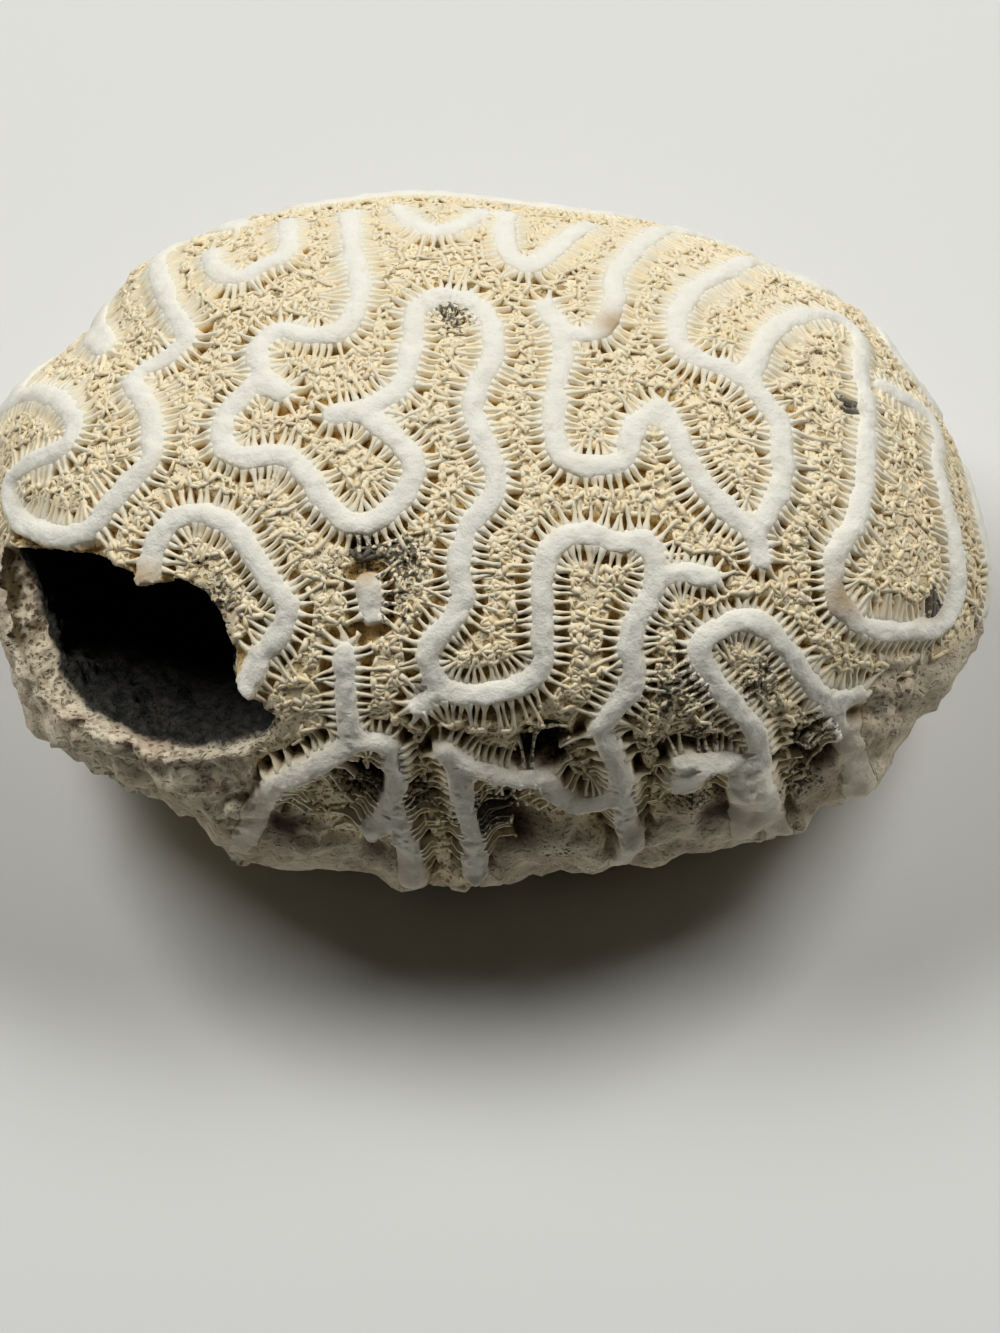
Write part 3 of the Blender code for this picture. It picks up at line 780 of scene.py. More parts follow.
def layer_values(bm, name):
    layer = bm.verts.layers.float[name]
    return np.array([vert[layer] for vert in bm.verts])


def cut_along(bm, name, level, snap):
    """Adds edges along the line where a layer's values pass a level. Points close to it are put on it."""
    layer = bm.verts.layers.float[name]
    for vert in bm.verts:
        if abs(vert[layer] - level) < snap:
            vert[layer] = level
    splits = {}
    for edge in bm.edges:
        low, high = (vert[layer] - level for vert in edge.verts)
        if low * high < 0:
            splits[edge] = low / (low - high)
    bmesh.ops.bisect_edges(bm, edges=list(splits), cuts=1, edge_percents=splits)
    layer = bm.verts.layers.float[name]
    bmesh.ops.connect_verts(bm, verts=[vert for vert in bm.verts if abs(vert[layer] - level) < 0.001])


def worn_share(sight, points, normals):
    """1 below the worn line as it is seen, 0 above it."""
    pixel_x, pixel_y = sight.pixels(points)
    line_x, line_y = np.array(WORN_LINE).T
    below = pixel_y - np.interp(pixel_x, line_x, line_y) + 14 * lumps(points, 3 * MM)
    return smooth_step(-8, 12, below) * smooth_step(-0.35, 0.0, sight.facing(points, normals))


def unit(vectors):
    return vectors / np.maximum(np.linalg.norm(vectors, axis=-1), 1e-12)[..., None]


class CoralSurface:
    """The lump's fine mesh points, with what the septa and struts need to stand on it."""

    def __init__(self, form, sizes):
        self.form = form
        bm = blown_cube(sizes.lump_steps)
        directions = points_of(bm)
        points, normals = form.shape(bm)
        share, _ = form.hollow_share(points, normals)
        inner = [face for face in bm.faces if max(share[vert.index] for vert in face.verts) < 1.04]
        edges = list({edge for face in inner for edge in face.edges})
        move_points(bm, directions)
        bmesh.ops.subdivide_edges(bm, edges=edges, cuts=2, use_grid_fill=True)
        for vert in bm.verts:
            vert.co.normalize()
        bm.verts.index_update()
        bmesh.ops.triangulate(bm, faces=bm.faces[:])
        points, normals = form.shape(bm)
        worn = worn_share(form.sight, points, normals)
        drawn = nearest_gap(points, form.drawn_tree) - WALL_WIDTH / 2
        side = form.side(points, normals) * (1 - worn) + np.minimum(drawn, 3 * MM) * worn
        side += EDGE_INSET + EDGE_WANDER * lumps(points, 2.6 * MM) + EDGE_RAGGEDNESS * lumps(points, MM)
        set_layer(bm, "side", side / MM)
        set_layer(bm, "bank", (side - form.bank(points)) / MM)
        set_layer(bm, "share", form.hollow_share(points, normals)[0])
        self.base_points = points
        self.base_faces = [[vert.index for vert in face.verts] for face in bm.faces]
        self.base_side = side
        for level in SIDE_LINES:
            cut_along(bm, "side", level, LINE_SNAP)
        for level in BANK_LINES:
            cut_along(bm, "bank", level, LINE_SNAP)
        cut_along(bm, "share", 1.0, RIM_SNAP)
        bmesh.ops.remove_doubles(bm, verts=bm.verts[:], dist=WELD)
        bmesh.ops.triangulate(bm, faces=bm.faces[:])
        bm.verts.index_update()
        bm.normal_update()
        self.bm = bm
        self.measure(form)
        self.height = self.relief(sizes)
        self.ledge = self.ledges()
        self.septum_ends = np.zeros((0, 3))

    def measure(self, form):
        """What every point of the cut mesh is: how far from walls, how worn, how well seen and so on."""
        bm = self.bm
        self.points = points_of(bm)
        self.normals = np.array([vert.normal for vert in bm.verts])
        self.side = layer_values(bm, "side") * MM
        self.bank = layer_values(bm, "bank") * MM
        self.share = layer_values(bm, "share")
        self.turns = form.hollow_share(self.points, self.normals)[1]
        self.bottom = 1 - smooth_step(*FOOT_LEVELS, self.points[:, 2])
        self.seen = form.sight.facing(self.points, self.normals)
        self.under = np.maximum(self.bottom, worn_share(form.sight, self.points, self.normals))
        self.knobs = self.spots(KNOBS)
        self.hollows = self.spots(HOLLOWS)
        self.rubble = self.spots([(pixel, reach, 1.0) for pixel, reach in RUBBLE])
        self.tinge_and_shade = self.spots([(pixel, reach, 1.0) for pixel, reach in TINGES_AND_SHADES])
        self.pits = self.spots([(pixel, radius / MM, 1.0) for pixel, radius, _ in PITS])
        self.bare = self.spots(BARE)
        wallness = smooth_step(0.5 * MM, -0.3 * MM, self.side) * smooth_step(0.08, 0.4, self.seen)
        self.plain = self.under * (1 - 0.4 * wallness * (1 - self.bottom))
        pixel_y = form.sight.pixels(self.points)[1]
        self.low = smooth_step(*LOW_VALLEYS, pixel_y) * smooth_step(0.0, 0.2, self.seen)
        self.tree = tree_of(self.points)
        self.swell = 0.16 * lumps(self.points, 3 * MM)

    def relief(self, sizes):
        """Height over the smooth lump."""
        points = self.points
        side = self.side / MM
        crest = uneven(points, CREST_RISE, (0.12, 8), (0.16, 1.8))
        moat = -sizes.moat_depth / MM - LOW_MOAT_DROP * self.low + 0.5 * lumps(points, 1.4 * MM)
        ridge = (sizes.ridge_height - sizes.sponge_depth) / MM - LOW_RIDGE_DROP * self.low + self.swell
        top = crest - CREST_ROUNDING * np.clip(1 + (side - WALL_FOOT) / 1.05, 0, 1) ** 2.5
        flank = top + (moat - top) * smooth_step(WALL_FOOT, MOAT_EDGE, side)
        floor = flank + (ridge - flank) * smooth_step(*BANK_LINES, self.bank / MM)
        height = np.where(side < WALL_FOOT, top, floor) * (1 - self.plain)
        knobs = uneven(points, 0, (0.7, 5), (0.4, 2.4), (0.1, 1))
        rough = uneven(points, 0, (1.0, 2.4), (0.8, 1.2))
        height += self.plain * (WORN_RISE + knobs + self.rubble * rough) + self.knobs - self.hollows
        valley = smooth_step(-0.2, 0.4, side)
        for pixel, radius, deepest in PITS:
            middle = np.array(self.form.sight.on_lump(pixel, self.form.tree))
            gap = np.linalg.norm(points - middle, axis=1) / radius
            height -= deepest / MM * np.exp(-(gap**4)) * valley
        return height * MM

    def ledges(self):
        """How far points on steep walls move, so that the walls' tops lie level."""
        down = unit(np.array([0, 0, -1]) + self.normals * self.normals[:, 2:])
        level = unit(self.normals * np.array([1, 1, 0]))
        middles = np.array([self.form.drawn_tree.find(point)[0] for point in self.points])
        across = np.clip(((self.points - middles) * down).sum(axis=1), -LEDGE_REACH, LEDGE_REACH)
        steep = smooth_step(0.2, -0.15, self.normals[:, 1]) * smooth_step(0.08, 0.4, self.seen)
        steep *= smooth_step(MOAT_EDGE * MM, WALL_FOOT * MM, self.side) * (1 - self.bottom) * (1 - self.under)
        return (level - down) * (LEDGE_SHIFT * across * steep)[:, None]

    def spots(self, places, points=None):
        """Rise of the highest spot near each point. Spots have a place in the picture, a reach and a rise."""
        points = self.points if points is None else points
        found = np.zeros(len(points))
        for pixel, reach, rise in places:
            middle = np.array(self.form.sight.on_lump(pixel, self.form.tree))
            gap = np.linalg.norm(points - middle, axis=1) / (reach * MM)
            found = np.maximum(found, rise * np.exp(-(gap**2)))
        return found

    def near(self, points, *layers):
        """Values of the fine mesh at other points, from the three nearest mesh points."""
        found = [self.tree.find_n(point, 3) for point in points]
        numbers = np.array([[hit[1] for hit in hits] for hits in found])
        weights = 1 / (np.array([[hit[2] for hit in hits] for hits in found]) + 0.02 * MM)
        weights /= weights.sum(axis=1)[:, None]
        made = []
        for values in layers:
            share = weights[:, :, None] if values.ndim == 2 else weights
            made.append((values[numbers] * share).sum(axis=1))
        return made if len(made) > 1 else made[0]


SURFACE = []


def coral_surface():
    if not SURFACE:
        SURFACE.append(CoralSurface(CoralForm(), bpy.context.scene.coral_sizes))
    return SURFACE[0]


def new_piece(bm, name, finish):
    mesh = bpy.data.meshes.new(name)
    bm.to_mesh(mesh)
    bm.free()
    return link_piece(mesh, name, finish)


def link_piece(mesh, name, finish):
    mesh.shade_smooth()
    mesh.materials.append(finish)
    obj = bpy.data.objects.new(name, mesh)
    bpy.context.scene.collection.objects.link(obj)
    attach(obj, "root")
    return obj


def mark(mesh, layers):
    """Keeps a value of every layer with each point, for the finishes."""
    for name, values in layers.items():
        layer = mesh.attributes.new(name, "FLOAT", "POINT")
        layer.data.foreach_set("value", np.asarray(values, np.float32))


def joined_mesh(name, points, faces):
    """One mesh of many like pieces: points is pieces x points x 3, faces the template's faces."""
    count, size, _ = points.shape
    mesh = bpy.data.meshes.new(name)
    corners = np.concatenate([np.asarray(face) for face in faces])
    lengths = np.array([len(face) for face in faces])
    loops = (corners[None, :] + np.arange(count)[:, None] * size).ravel()
    starts = np.concatenate([[0], np.cumsum(np.tile(lengths, count))[:-1]])
    mesh.vertices.add(count * size)
    mesh.loops.add(len(loops))
    mesh.polygons.add(count * len(faces))
    mesh.vertices.foreach_set("co", points.astype(np.float32).ravel())
    mesh.loops.foreach_set("vertex_index", loops.astype(np.int32))
    mesh.polygons.foreach_set("loop_start", starts.astype(np.int32))
    mesh.update(calc_edges=True)
    return mesh


def link_halves(names, seen, points, faces, layers, finish):
    """Two pieces of many like parts: those that the picture shows, and those around."""
    for name, chosen in zip(names, (seen, ~seen)):
        mesh = joined_mesh(name, points[chosen], faces)
        spread = {layer: np.broadcast_to(values, points.shape[:2]) for layer, values in layers.items()}
        mark(mesh, {layer: values[chosen].ravel() for layer, values in spread.items()})
        outward(mesh)
        link_piece(mesh, name, finish)


class Value:
    """A shader socket that number expressions can be written with."""

    def __init__(self, finish, socket):
        self.finish = finish
        self.socket = socket

    def maths(self, operation, first, second):
        return self.finish.node("ShaderNodeMath", {"operation": operation}, {0: first, 1: second}).out(0)

    def __add__(self, other):
        return self.maths("ADD", self, other)

    def __radd__(self, other):
        return self.maths("ADD", other, self)

    def __sub__(self, other):
        return self.maths("SUBTRACT", self, other)

    def __rsub__(self, other):
        return self.maths("SUBTRACT", other, self)

    def __mul__(self, other):
        return self.maths("MULTIPLY", self, other)

    def __rmul__(self, other):
        return self.maths("MULTIPLY", other, self)

    def most(self, other):
        return self.maths("MAXIMUM", self, other)


class Made:
    """A node that has been made."""

    def __init__(self, finish, node):
        self.finish = finish
        self.node = node

    def out(self, name):
        return Value(self.finish, self.node.outputs[name])


class Finish:
    """A material whose nodes are made by one method."""

    def __init__(self, name):
        self.material = bpy.data.materials.new(name)
        self.material.use_nodes = True
        self.tree = self.material.node_tree
        self.shader = self.tree.nodes["Principled BSDF"]
        self.shader.inputs["IOR"].default_value = 1.5

    def put(self, socket, value):
        if isinstance(value, Value):
            self.tree.links.new(value.socket, socket)
        else:
            socket.default_value = value

    def node(self, kind, settings, values):
        node = self.tree.nodes.new(kind)
        for name, setting in settings.items():
            setattr(node, name, setting)
        for name, value in values.items():
            self.put(node.inputs[name], value)
        return Made(self, node)

    def attribute(self, name):
        return self.node("ShaderNodeAttribute", {"attribute_name": name}, {}).out("Fac")

    def place(self):
        return self.node("ShaderNodeTexCoord", {}, {}).out("Object")

    def warped(self, size_mm, amount_mm):
        """Places moved about at random, for uneven patterns."""
        values = {"Vector": self.place(), "Scale": 1000 / size_mm, "Detail": 1.0}
        noise_colour = self.node("ShaderNodeTexNoise", {}, values).out("Color")
        values = {0: noise_colour, 1: (0.5, 0.5, 0.5)}
        centred = self.node("ShaderNodeVectorMath", {"operation": "SUBTRACT"}, values)
        values = {0: centred.out(0), "Scale": amount_mm * MM * 2}
        shift = self.node("ShaderNodeVectorMath", {"operation": "SCALE"}, values)
        values = {0: self.place(), 1: shift.out(0)}
        return self.node("ShaderNodeVectorMath", {"operation": "ADD"}, values).out(0)

    def noise(self, size_mm, detail=3.0, rough=0.55):
        values = {"Vector": self.place(), "Scale": 1000 / size_mm, "Detail": detail, "Roughness": rough}
        return self.node("ShaderNodeTexNoise", {}, values).out("Fac")

    def cells(self, size_mm, place=None):
        values = {"Vector": place or self.place(), "Scale": 1000 / size_mm}
        return self.node("ShaderNodeTexVoronoi", {"feature": "F1"}, values).out("Distance")

    def dirt_and_pit_shade(self):
        """Crumbs of dirt, close together in the stained places. In the pits they are painted shade."""
        return self.ramp(self.attribute("stain_and_pit_shade") + (self.noise(0.4) - 0.5) * 1.8, 0.5, 0.7)

    def ramp(self, value, low, high):
        """0 at low, 1 at high, smooth between."""
        settings = {"interpolation_type": "SMOOTHSTEP"}
        values = {"Value": value, "From Min": low, "From Max": high}
        return self.node("ShaderNodeMapRange", settings, values).out("Result")

    def mix(self, factor, first, second):
        first = first if isinstance(first, Value) else (*first, 1.0)
        second = second if isinstance(second, Value) else (*second, 1.0)
        return self.node("ShaderNodeMix", {"data_type": "RGBA"}, {0: factor, 6: first, 7: second}).out(2)

    def bump(self, height, strength, distance_mm):
        values = {"Height": height, "Strength": strength, "Distance": distance_mm * MM}
        return self.node("ShaderNodeBump", {}, values).out("Normal")

    def finish(self, colour, roughness, normal):
        self.put(self.shader.inputs["Base Color"], colour)
        self.put(self.shader.inputs["Roughness"], roughness)
        self.put(self.shader.inputs["Normal"], normal)
        return self.material


def lump_finish(colours):
    """White worn walls, ochre gaps, cream spongy floors with dark pores, and a grey brown broken hollow.
    Painted shade darkens the inside of the hollow, the gaps of the shaded lower valleys, the dips of the worn
    rim, the pits, the pores, the foot near the floor and some wall flanks, and warms the walls low down.
    """
    made = Finish("worn_coral_lump")
    side, bank, under, low = map(made.attribute, ("side", "bank", "under", "low"))
    coarse = made.noise(5.0)
    fine = made.noise(0.8)
    grain = made.noise(0.22, 4.0, 0.7)
    mottle = made.noise(1.6, 4.0, 0.6)
    bent = made.warped(0.7, 0.35)
    pores = made.cells(0.62, bent)
    small_pores = made.cells(0.33, bent)
    specks = made.cells(0.9)
    edge = side + (fine - 0.5) * 0.2
    wall = 1 - made.ramp(edge, 0.06, 0.26)
    middle = made.ramp(bank + (fine - 0.5) * 0.3, 0.0, 0.35)

    gap = made.mix(made.ramp(coarse, 0.45, 0.8) * 0.6, LIT_GAP, colours.brown)
    floor = made.mix(made.ramp(fine, 0.2, 0.55), colours.tan, colours.cream)
    # Painted pores: partly their own ochre brown, partly painted shade inside the holes
    holes = made.ramp(pores + (coarse - 0.5) * 0.3, 0.4, 0.26).most(made.ramp(small_pores, 0.3, 0.18) * 0.8)
    pore_shade_and_ochre = made.mix(made.ramp(fine, 0.35, 0.65), colours.brown, colours.ochre)
    floor = made.mix(holes * 0.85, floor, pore_shade_and_ochre)

    aged = made.ramp(mottle + (coarse - 0.5) * 0.5, 0.35, 0.7) * 0.35
    white = made.mix(aged, colours.wall, AGED_WALL)
    white = made.mix(made.ramp(specks, 0.17, 0.08) * 0.5, white, colours.tan)
    white = made.mix(made.ramp(edge, -0.35, 0.15) * 0.6, white, colours.cream)
    # Painted shade: walls in the shaded low valleys and on the worn rim are warmed
    white = made.mix(low.most(under) * 0.3, white, SHADE_WARMED_WALL)

    grit = made.mix(made.ramp(coarse + (fine - 0.5) * 0.9, 0.3, 0.7), GRIT_BROWN, GRIT_CREAM)
    # Painted pores, partly brown and partly painted shade
    grit = made.mix(made.ramp(pores + (fine - 0.5) * 0.7, 0.46, 0.2) * 0.7, grit, GRIT_PORE_BROWN_AND_SHADE)
    worn = made.mix(made.ramp(coarse + (fine - 0.5) * 0.5, 0.3, 0.7), WORN_BROWN, WORN_CREAM)
    worn = made.mix(made.attribute("rubble"), worn, grit)
    on_knobs = made.ramp(made.attribute("knob") + (fine - 0.5) * 0.6, 0.3, 1.0) * 0.7
    worn = made.mix(on_knobs, worn, KNOB_CREAM)
    # Painted pores, partly brown and partly painted shade
    worn = made.mix(made.ramp(small_pores, 0.2, 0.1) * 0.4, worn, WORN_PORE_BROWN_AND_SHADE)
    # Painted shade: the dips between the rim's knobs go near black brown
    worn = made.mix(made.ramp(made.attribute("dip_shade"), 0.3, 1.1) * 0.92, worn, DIP_SHADE_BROWN)
    # Painted shade: darker brown near the floor
    worn = made.mix(made.attribute("bottom") * 0.5, worn, FOOT_SHADE_BROWN)

    # Painted shade: the hollow's inside goes near black, less far in on its lit left lip
    shadowed = made.mix(made.ramp(fine, 0.3, 0.7), HOLLOW_SHADE_BLACK, HOLLOW_SHADE_GREY)
    inside = made.ramp(made.attribute("painted_hollow_shade") + (fine - 0.5) * 0.6, 0.1, 0.8)

    colour = made.mix(wall, made.mix(middle, gap, floor), white)
    # Painted shade: gaps in the shaded lower valleys go near black
    colour = made.mix(low * (1 - wall) * (1 - middle) * 0.8, colour, SHADED_LOW_GAP)
    colour = made.mix(under * (1 - wall * 0.5), colour, worn)
    colour = made.mix(made.attribute("hollow"), colour, made.mix(inside, grit, shadowed))
    # Ochre stain patches, and painted shade on shaded wall flanks
    colour = made.mix(made.attribute("tinge_and_shade") * 0.8, colour, TINGE_AND_SHADE_BROWN)
    # Dirt crumbs, and painted shade in the pits
    colour = made.mix(made.dirt_and_pit_shade() * (1 - wall * 0.85) * 0.85, colour, colours.dirt_and_pit_shade)
    height = grain * 0.4 + (1 - wall) * (1 - holes) * 1.2 + fine * 0.7 + mottle * 0.8
    return made.finish(colour, 0.88, made.bump(height, 0.75, 0.18))


def septa_finish(colours):
    """Cream edges going to ochre and brown deeper down, with painted shade, near black, on the septa of the
    shaded lower valleys.
    """
    made = Finish("coral_septa")
    deep, shade = map(made.attribute, ("deep", "shade"))
    fine = made.noise(0.7)
    grain = made.noise(0.2, 4.0, 0.7)
    top = made.mix(made.ramp(shade + (fine - 0.5) * 0.6, 0.2, 0.9), colours.cream, PALE_SEPTA)
    top = made.mix(made.attribute("white"), top, colours.wall)
    low = made.mix(shade, colours.ochre, colours.brown)
    # Painted shade on septa of the shaded lower valleys
    low = made.mix(made.attribute("low") * 0.85, low, SHADED_LOW_SEPTA)
    colour = made.mix(made.ramp(deep + (fine - 0.5) * 0.3, 0.15, 0.8), top, low)
    colour = made.mix(made.dirt_and_pit_shade() * 0.8, colour, colours.dirt_and_pit_shade)
    return made.finish(colour, 0.85, made.bump(grain, 0.5, 0.08))


def strut_finish(colours):
    """Cream to tan struts with a pinkish few, brown low down."""
    made = Finish("coral_struts")
    deep, shade = map(made.attribute, ("deep", "shade"))
    fine = made.noise(0.7)
    coarse = made.noise(4.0)
    grain = made.noise(0.2, 4.0, 0.7)
    colour = made.mix(made.ramp(shade, 0.0, 0.5) * 0.65 + 0.35, colours.tan, colours.cream)
    colour = made.mix(made.ramp(shade, 0.5, 0.9) * 0.6, colour, PALE_STRUTS)
    colour = made.mix(made.ramp(coarse + (fine - 0.5) * 0.6, 0.52, 0.8) * 0.3, colour, PINKISH_STRUTS)
    colour = made.mix(made.ramp(deep, 0.4, 1.0) * 0.7, colour, colours.ochre)
    colour = made.mix(made.dirt_and_pit_shade() * 0.8, colour, colours.dirt_and_pit_shade)
    return made.finish(colour, 0.88, made.bump(grain, 0.5, 0.08))


class CORAL_OT_lump(bpy.types.Operator):
    """Build the lump with its walls, valleys, pits and hollow"""

    bl_idname = "coral.lump"
    bl_label = "Coral Lump"

    def execute(self, context):
        surface = coral_surface()
        bm = surface.bm
        inside = surface.share < 1
        points = surface.points + surface.normals * surface.height[:, None] + surface.ledge
        points[inside] = surface.form.into_hollow(surface.share[inside], surface.turns[inside])
        move_points(bm, points)
        bm.normal_update()
        normals = np.array([vert.normal for vert in bm.verts])
        deep = smooth_step(1.0, 0.9, surface.share)
        rough = uneven(points, 0, (0.55, 3.4), (0.4, 1.4), (0.2, 0.7))
        points += normals * (deep * rough * MM)[:, None]
        points[:, 2] = np.maximum(points[:, 2], 0)
        move_points(bm, points)
        bmesh.ops.recalc_face_normals(bm, faces=bm.faces[:])
        bm.normal_update()
        obj = new_piece(bm, "coral_lump", lump_finish(context.scene.coral_colours))
        # Painted shade: the inside of the hollow is marked dark, less far in on the lit left lip
        lit = 0.14 * smooth_step(120, 30, surface.form.sight.pixels(surface.points)[0])
        layers = {
            "side": surface.side / MM,
            "bank": surface.bank / MM,
            "hollow": smooth_step(1.01, 0.97, surface.share),
            "painted_hollow_shade": smooth_step(1.0, 0.86, surface.share + lit),
            "under": surface.under,
            "bottom": surface.bottom,
            "stain_and_pit_shade": surface.spots(STAINS_AND_PIT_SHADES),
            "low": surface.low,
            "knob": surface.knobs,
            "dip_shade": surface.hollows,
            "rubble": surface.rubble,
            "tinge_and_shade": surface.tinge_and_shade,
        }
        mark(obj.data, layers)
        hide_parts(NODE)
        return {"FINISHED"}


def wall_edges(surface):
    """The lines where walls meet their valleys, as chains of points on the smooth lump."""
    faces = surface.base_faces
    value = surface.base_side - WALL_FOOT * MM
    links = {}
    for face in faces:
        for k in range(1, len(face) - 1):
            corners = (face[0], face[k], face[k + 1])
            cuts = []
            for a, b in ((corners[0], corners[1]), (corners[1], corners[2]), (corners[2], corners[0])):
                if (value[a] < 0) != (value[b] < 0):
                    cuts.append((min(a, b), max(a, b)))
            if len(cuts) == 2:
                links.setdefault(cuts[0], []).append(cuts[1])
                links.setdefault(cuts[1], []).append(cuts[0])
    done = set()
    chains = []
    for start in links:
        if start in done:
            continue
        done.add(start)
        chain = [start]
        for _ in range(2):
            here = chain[-1]
            while True:
                onward = [key for key in links[here] if key not in done]
                if not onward:
                    break
                here = onward[0]
                done.add(here)
                chain.append(here)
            chain.reverse()
        if len(chain) > 6:
            ends = np.array(chain)
            low, high = value[ends[:, 0]], value[ends[:, 1]]
            share = (low / (low - high))[:, None]
            first, last = surface.base_points[ends[:, 0]], surface.base_points[ends[:, 1]]
            chains.append(first * (1 - share) + last * share)
    return chains


def stations(surface, spacing, rng):
    """Places for septa along the wall edges: their points, and the directions along the edge."""
    places, along = [], []
    for chain in wall_edges(surface):
        steps = np.linalg.norm(np.diff(chain, axis=0), axis=1)
        run = np.concatenate([[0], np.cumsum(steps)])
        count = int(run[-1] / spacing)
        if count < 2:
            continue
        at = (np.arange(count) + 0.5 + rng.uniform(-0.16, 0.16, count)) * run[-1] / count
        stretch = (at, at + 0.5 * MM, at - 0.5 * MM)
        found = [np.stack([np.interp(t, run, line) for line in chain.T], axis=1) for t in stretch]
        here, ahead, behind = found
        places.append(here)
        along.append(ahead - behind)
    return np.concatenate(places), unit(np.concatenate(along))


def plate_template(parts):
    """A flat box of unit sides, divided along X."""
    bm = bmesh.new()
    bmesh.ops.create_cube(bm, size=1.0)
    long_edges = [edge for edge in bm.edges if abs(edge.verts[0].co.x - edge.verts[1].co.x) > 0.5]
    bmesh.ops.subdivide_edges(bm, edges=long_edges, cuts=parts - 1)
    points = points_of(bm) + 0.5
    faces = [[vert.index for vert in face.verts] for face in bm.faces]
    bm.free()
    return points, faces


class CORAL_OT_septa(bpy.types.Operator):
    """Build the thin septa that stand out from both sides of every wall"""

    bl_idname = "coral.septa"
    bl_label = "Septa"

    def execute(self, context):
        sizes = context.scene.coral_sizes
        surface = coral_surface()
        rng = np.random.default_rng(SEPTA_SEED)
        place, along = stations(surface, sizes.septum_spacing, rng)
        normal = unit(surface.near(place, surface.normals))
        out = unit(np.cross(along, normal))
        probe = surface.near(place + out * 0.4 * MM, surface.side)
        out *= np.where(probe > 0, 1, -1)[:, None]
        rises = np.stack([surface.near(place + out * step, surface.side) for step in FAR_SIDE_STEPS], axis=1)
        highest = FAR_SIDE_STEPS[np.argmax(rises, axis=1)]
        bank = np.clip(BANK_SHARE * highest, NARROWEST_BANK, BANK_START) + 0.4 * MM
        length = np.minimum(bank * rng.uniform(0.85, 1.15, len(place)), highest + 0.2 * MM)
        longer = rng.uniform(0.4, 1.6, len(place)) * MM
        longer = np.minimum(longer, 0.85 * (highest - bank).clip(0))
        length += np.where(rng.uniform(0, 1, len(place)) < LONG_SEPTA, longer, 0)
        share, _ = surface.form.hollow_share(place + out * 0.5 * length[:, None], normal)
        under, bare = surface.near(place, surface.under, surface.bare)
        keep = (share > 1.06) & (bare < 0.4) & (under < 0.45) & (rises.max(axis=1) > 0.3 * MM)
        keep &= rng.uniform(0, 1, len(place)) > 0.3 * surface.near(place, surface.low)
        place, along, normal, out = place[keep], along[keep], normal[keep], out[keep]
        length, under = length[keep], under[keep]
        self.plates(context, surface, rng, place, along, normal, out, length, under)
        return {"FINISHED"}

    def plates(self, context, surface, rng, place, along, normal, out, length, under):
        sizes = context.scene.coral_sizes
        count = len(place)
        template, faces = plate_template(SEPTUM_PARTS)
        u, w, v = template.T
        d = SEPTUM_ROOT + u[None, :] * (length[:, None] / MM - SEPTUM_ROOT)
        reach = np.clip(d / (length[:, None] / MM), 0, 1)
        tilt = rng.normal(0, 0.10, count)[:, None]
        drop = rng.uniform(-0.02, 0.12, count)[:, None]
        low_down, swell = surface.near(place, surface.low, surface.swell)
        ridge = sizes.ridge_height / MM + SEPTUM_END + (swell - LOW_RIDGE_DROP * low_down)[:, None]
        top = SEPTUM_TOP + 0.08 * smooth_step(-0.4, 0.1, d)
        top = top + (ridge - top) * smooth_step(0.1, 1.0, d)
        top -= drop * np.sin(reach * math.pi)
        top += 0.05 * np.sin(d * 7 + rng.uniform(0, 6.28, count)[:, None]) * (reach > 0.2)
        top -= UNDER_DROP * under[:, None]
        low = -sizes.moat_depth / MM - 0.25 - LOW_MOAT_DROP * low_down[:, None]
        height = np.where(v[None, :] > 0.5, top, low + 0 * top)
        thick = sizes.septum_thickness / MM * rng.uniform(0.75, 1.2, count)[:, None]
        thick = thick * (0.88 + 0.9 * np.clip(1 - d / 0.45, 0, 1) + 0.35 * smooth_step(0.65, 1.0, reach))
        thick = thick * np.where(v > 0.5, 0.85, 1.1) * (1 - 0.45 * low_down[:, None])
        bend = 0.1 * np.sin(reach * 3.5 + rng.uniform(0, 6.28, count)[:, None]) * reach
        sideways = (w[None, :] - 0.5) * thick + bend + tilt * d * (reach > 0)
        ends = (u > 0.99) & (v > 0.5)
        points = place[:, None, :] + MM * (
            out[:, None, :] * d[:, :, None]
            + normal[:, None, :] * height[:, :, None]
            + along[:, None, :] * sideways[:, :, None]
        )
        shift = surface.near(place - out * 0.2 * MM, surface.ledge)
        points += shift[:, None, :] * (1 - smooth_step(-0.2, 0.9, d))[:, :, None]
        surface.septum_ends = points[:, ends].mean(axis=1)
        layers = {
            "deep": np.clip((top - height) / 1.2, 0, 1),
            "shade": rng.uniform(0, 1, count)[:, None],
            "white": np.clip(np.clip(0.35 - d, 0, 1) * 1.5, 0, 1),
            "low": low_down[:, None],
            "stain_and_pit_shade": surface.spots(STAINS_AND_PIT_SHADES, place)[:, None],
        }
        seen = surface.form.sight.facing(place, normal) > SPLIT_SEEN
        finish = septa_finish(context.scene.coral_colours)
        link_halves(("septa_above", "septa_around"), seen, points, faces, layers, finish)


def outward(mesh):
    """Turns the faces of closed shells outwards."""
    bm = bmesh.new()
    bm.from_mesh(mesh)
    bmesh.ops.recalc_face_normals(bm, faces=bm.faces[:])
    bm.to_mesh(mesh)
    bm.free()


def spread_out(points, gap):
    """Numbers of points that are at least a gap apart, the first ones first."""
    tree = tree_of(points)
    free = np.ones(len(points), bool)
    chosen = []
    for index, point in enumerate(points):
        if free[index]:
            chosen.append(index)
            for _, number, _ in tree.find_range(point, gap[index]):
                free[number] = False
    return chosen


def netting(points, longest):
    """Pairs of points that have no other point in the round between them."""
    tree = tree_of(points)
    pairs = []
    for index, point in enumerate(points):
        for _, other, gap in tree.find_range(point, longest):
            if other > index and tree.find((point + points[other]) / 2)[2] > 0.499 * gap:
                pairs.append((index, other))
    return np.array(pairs)


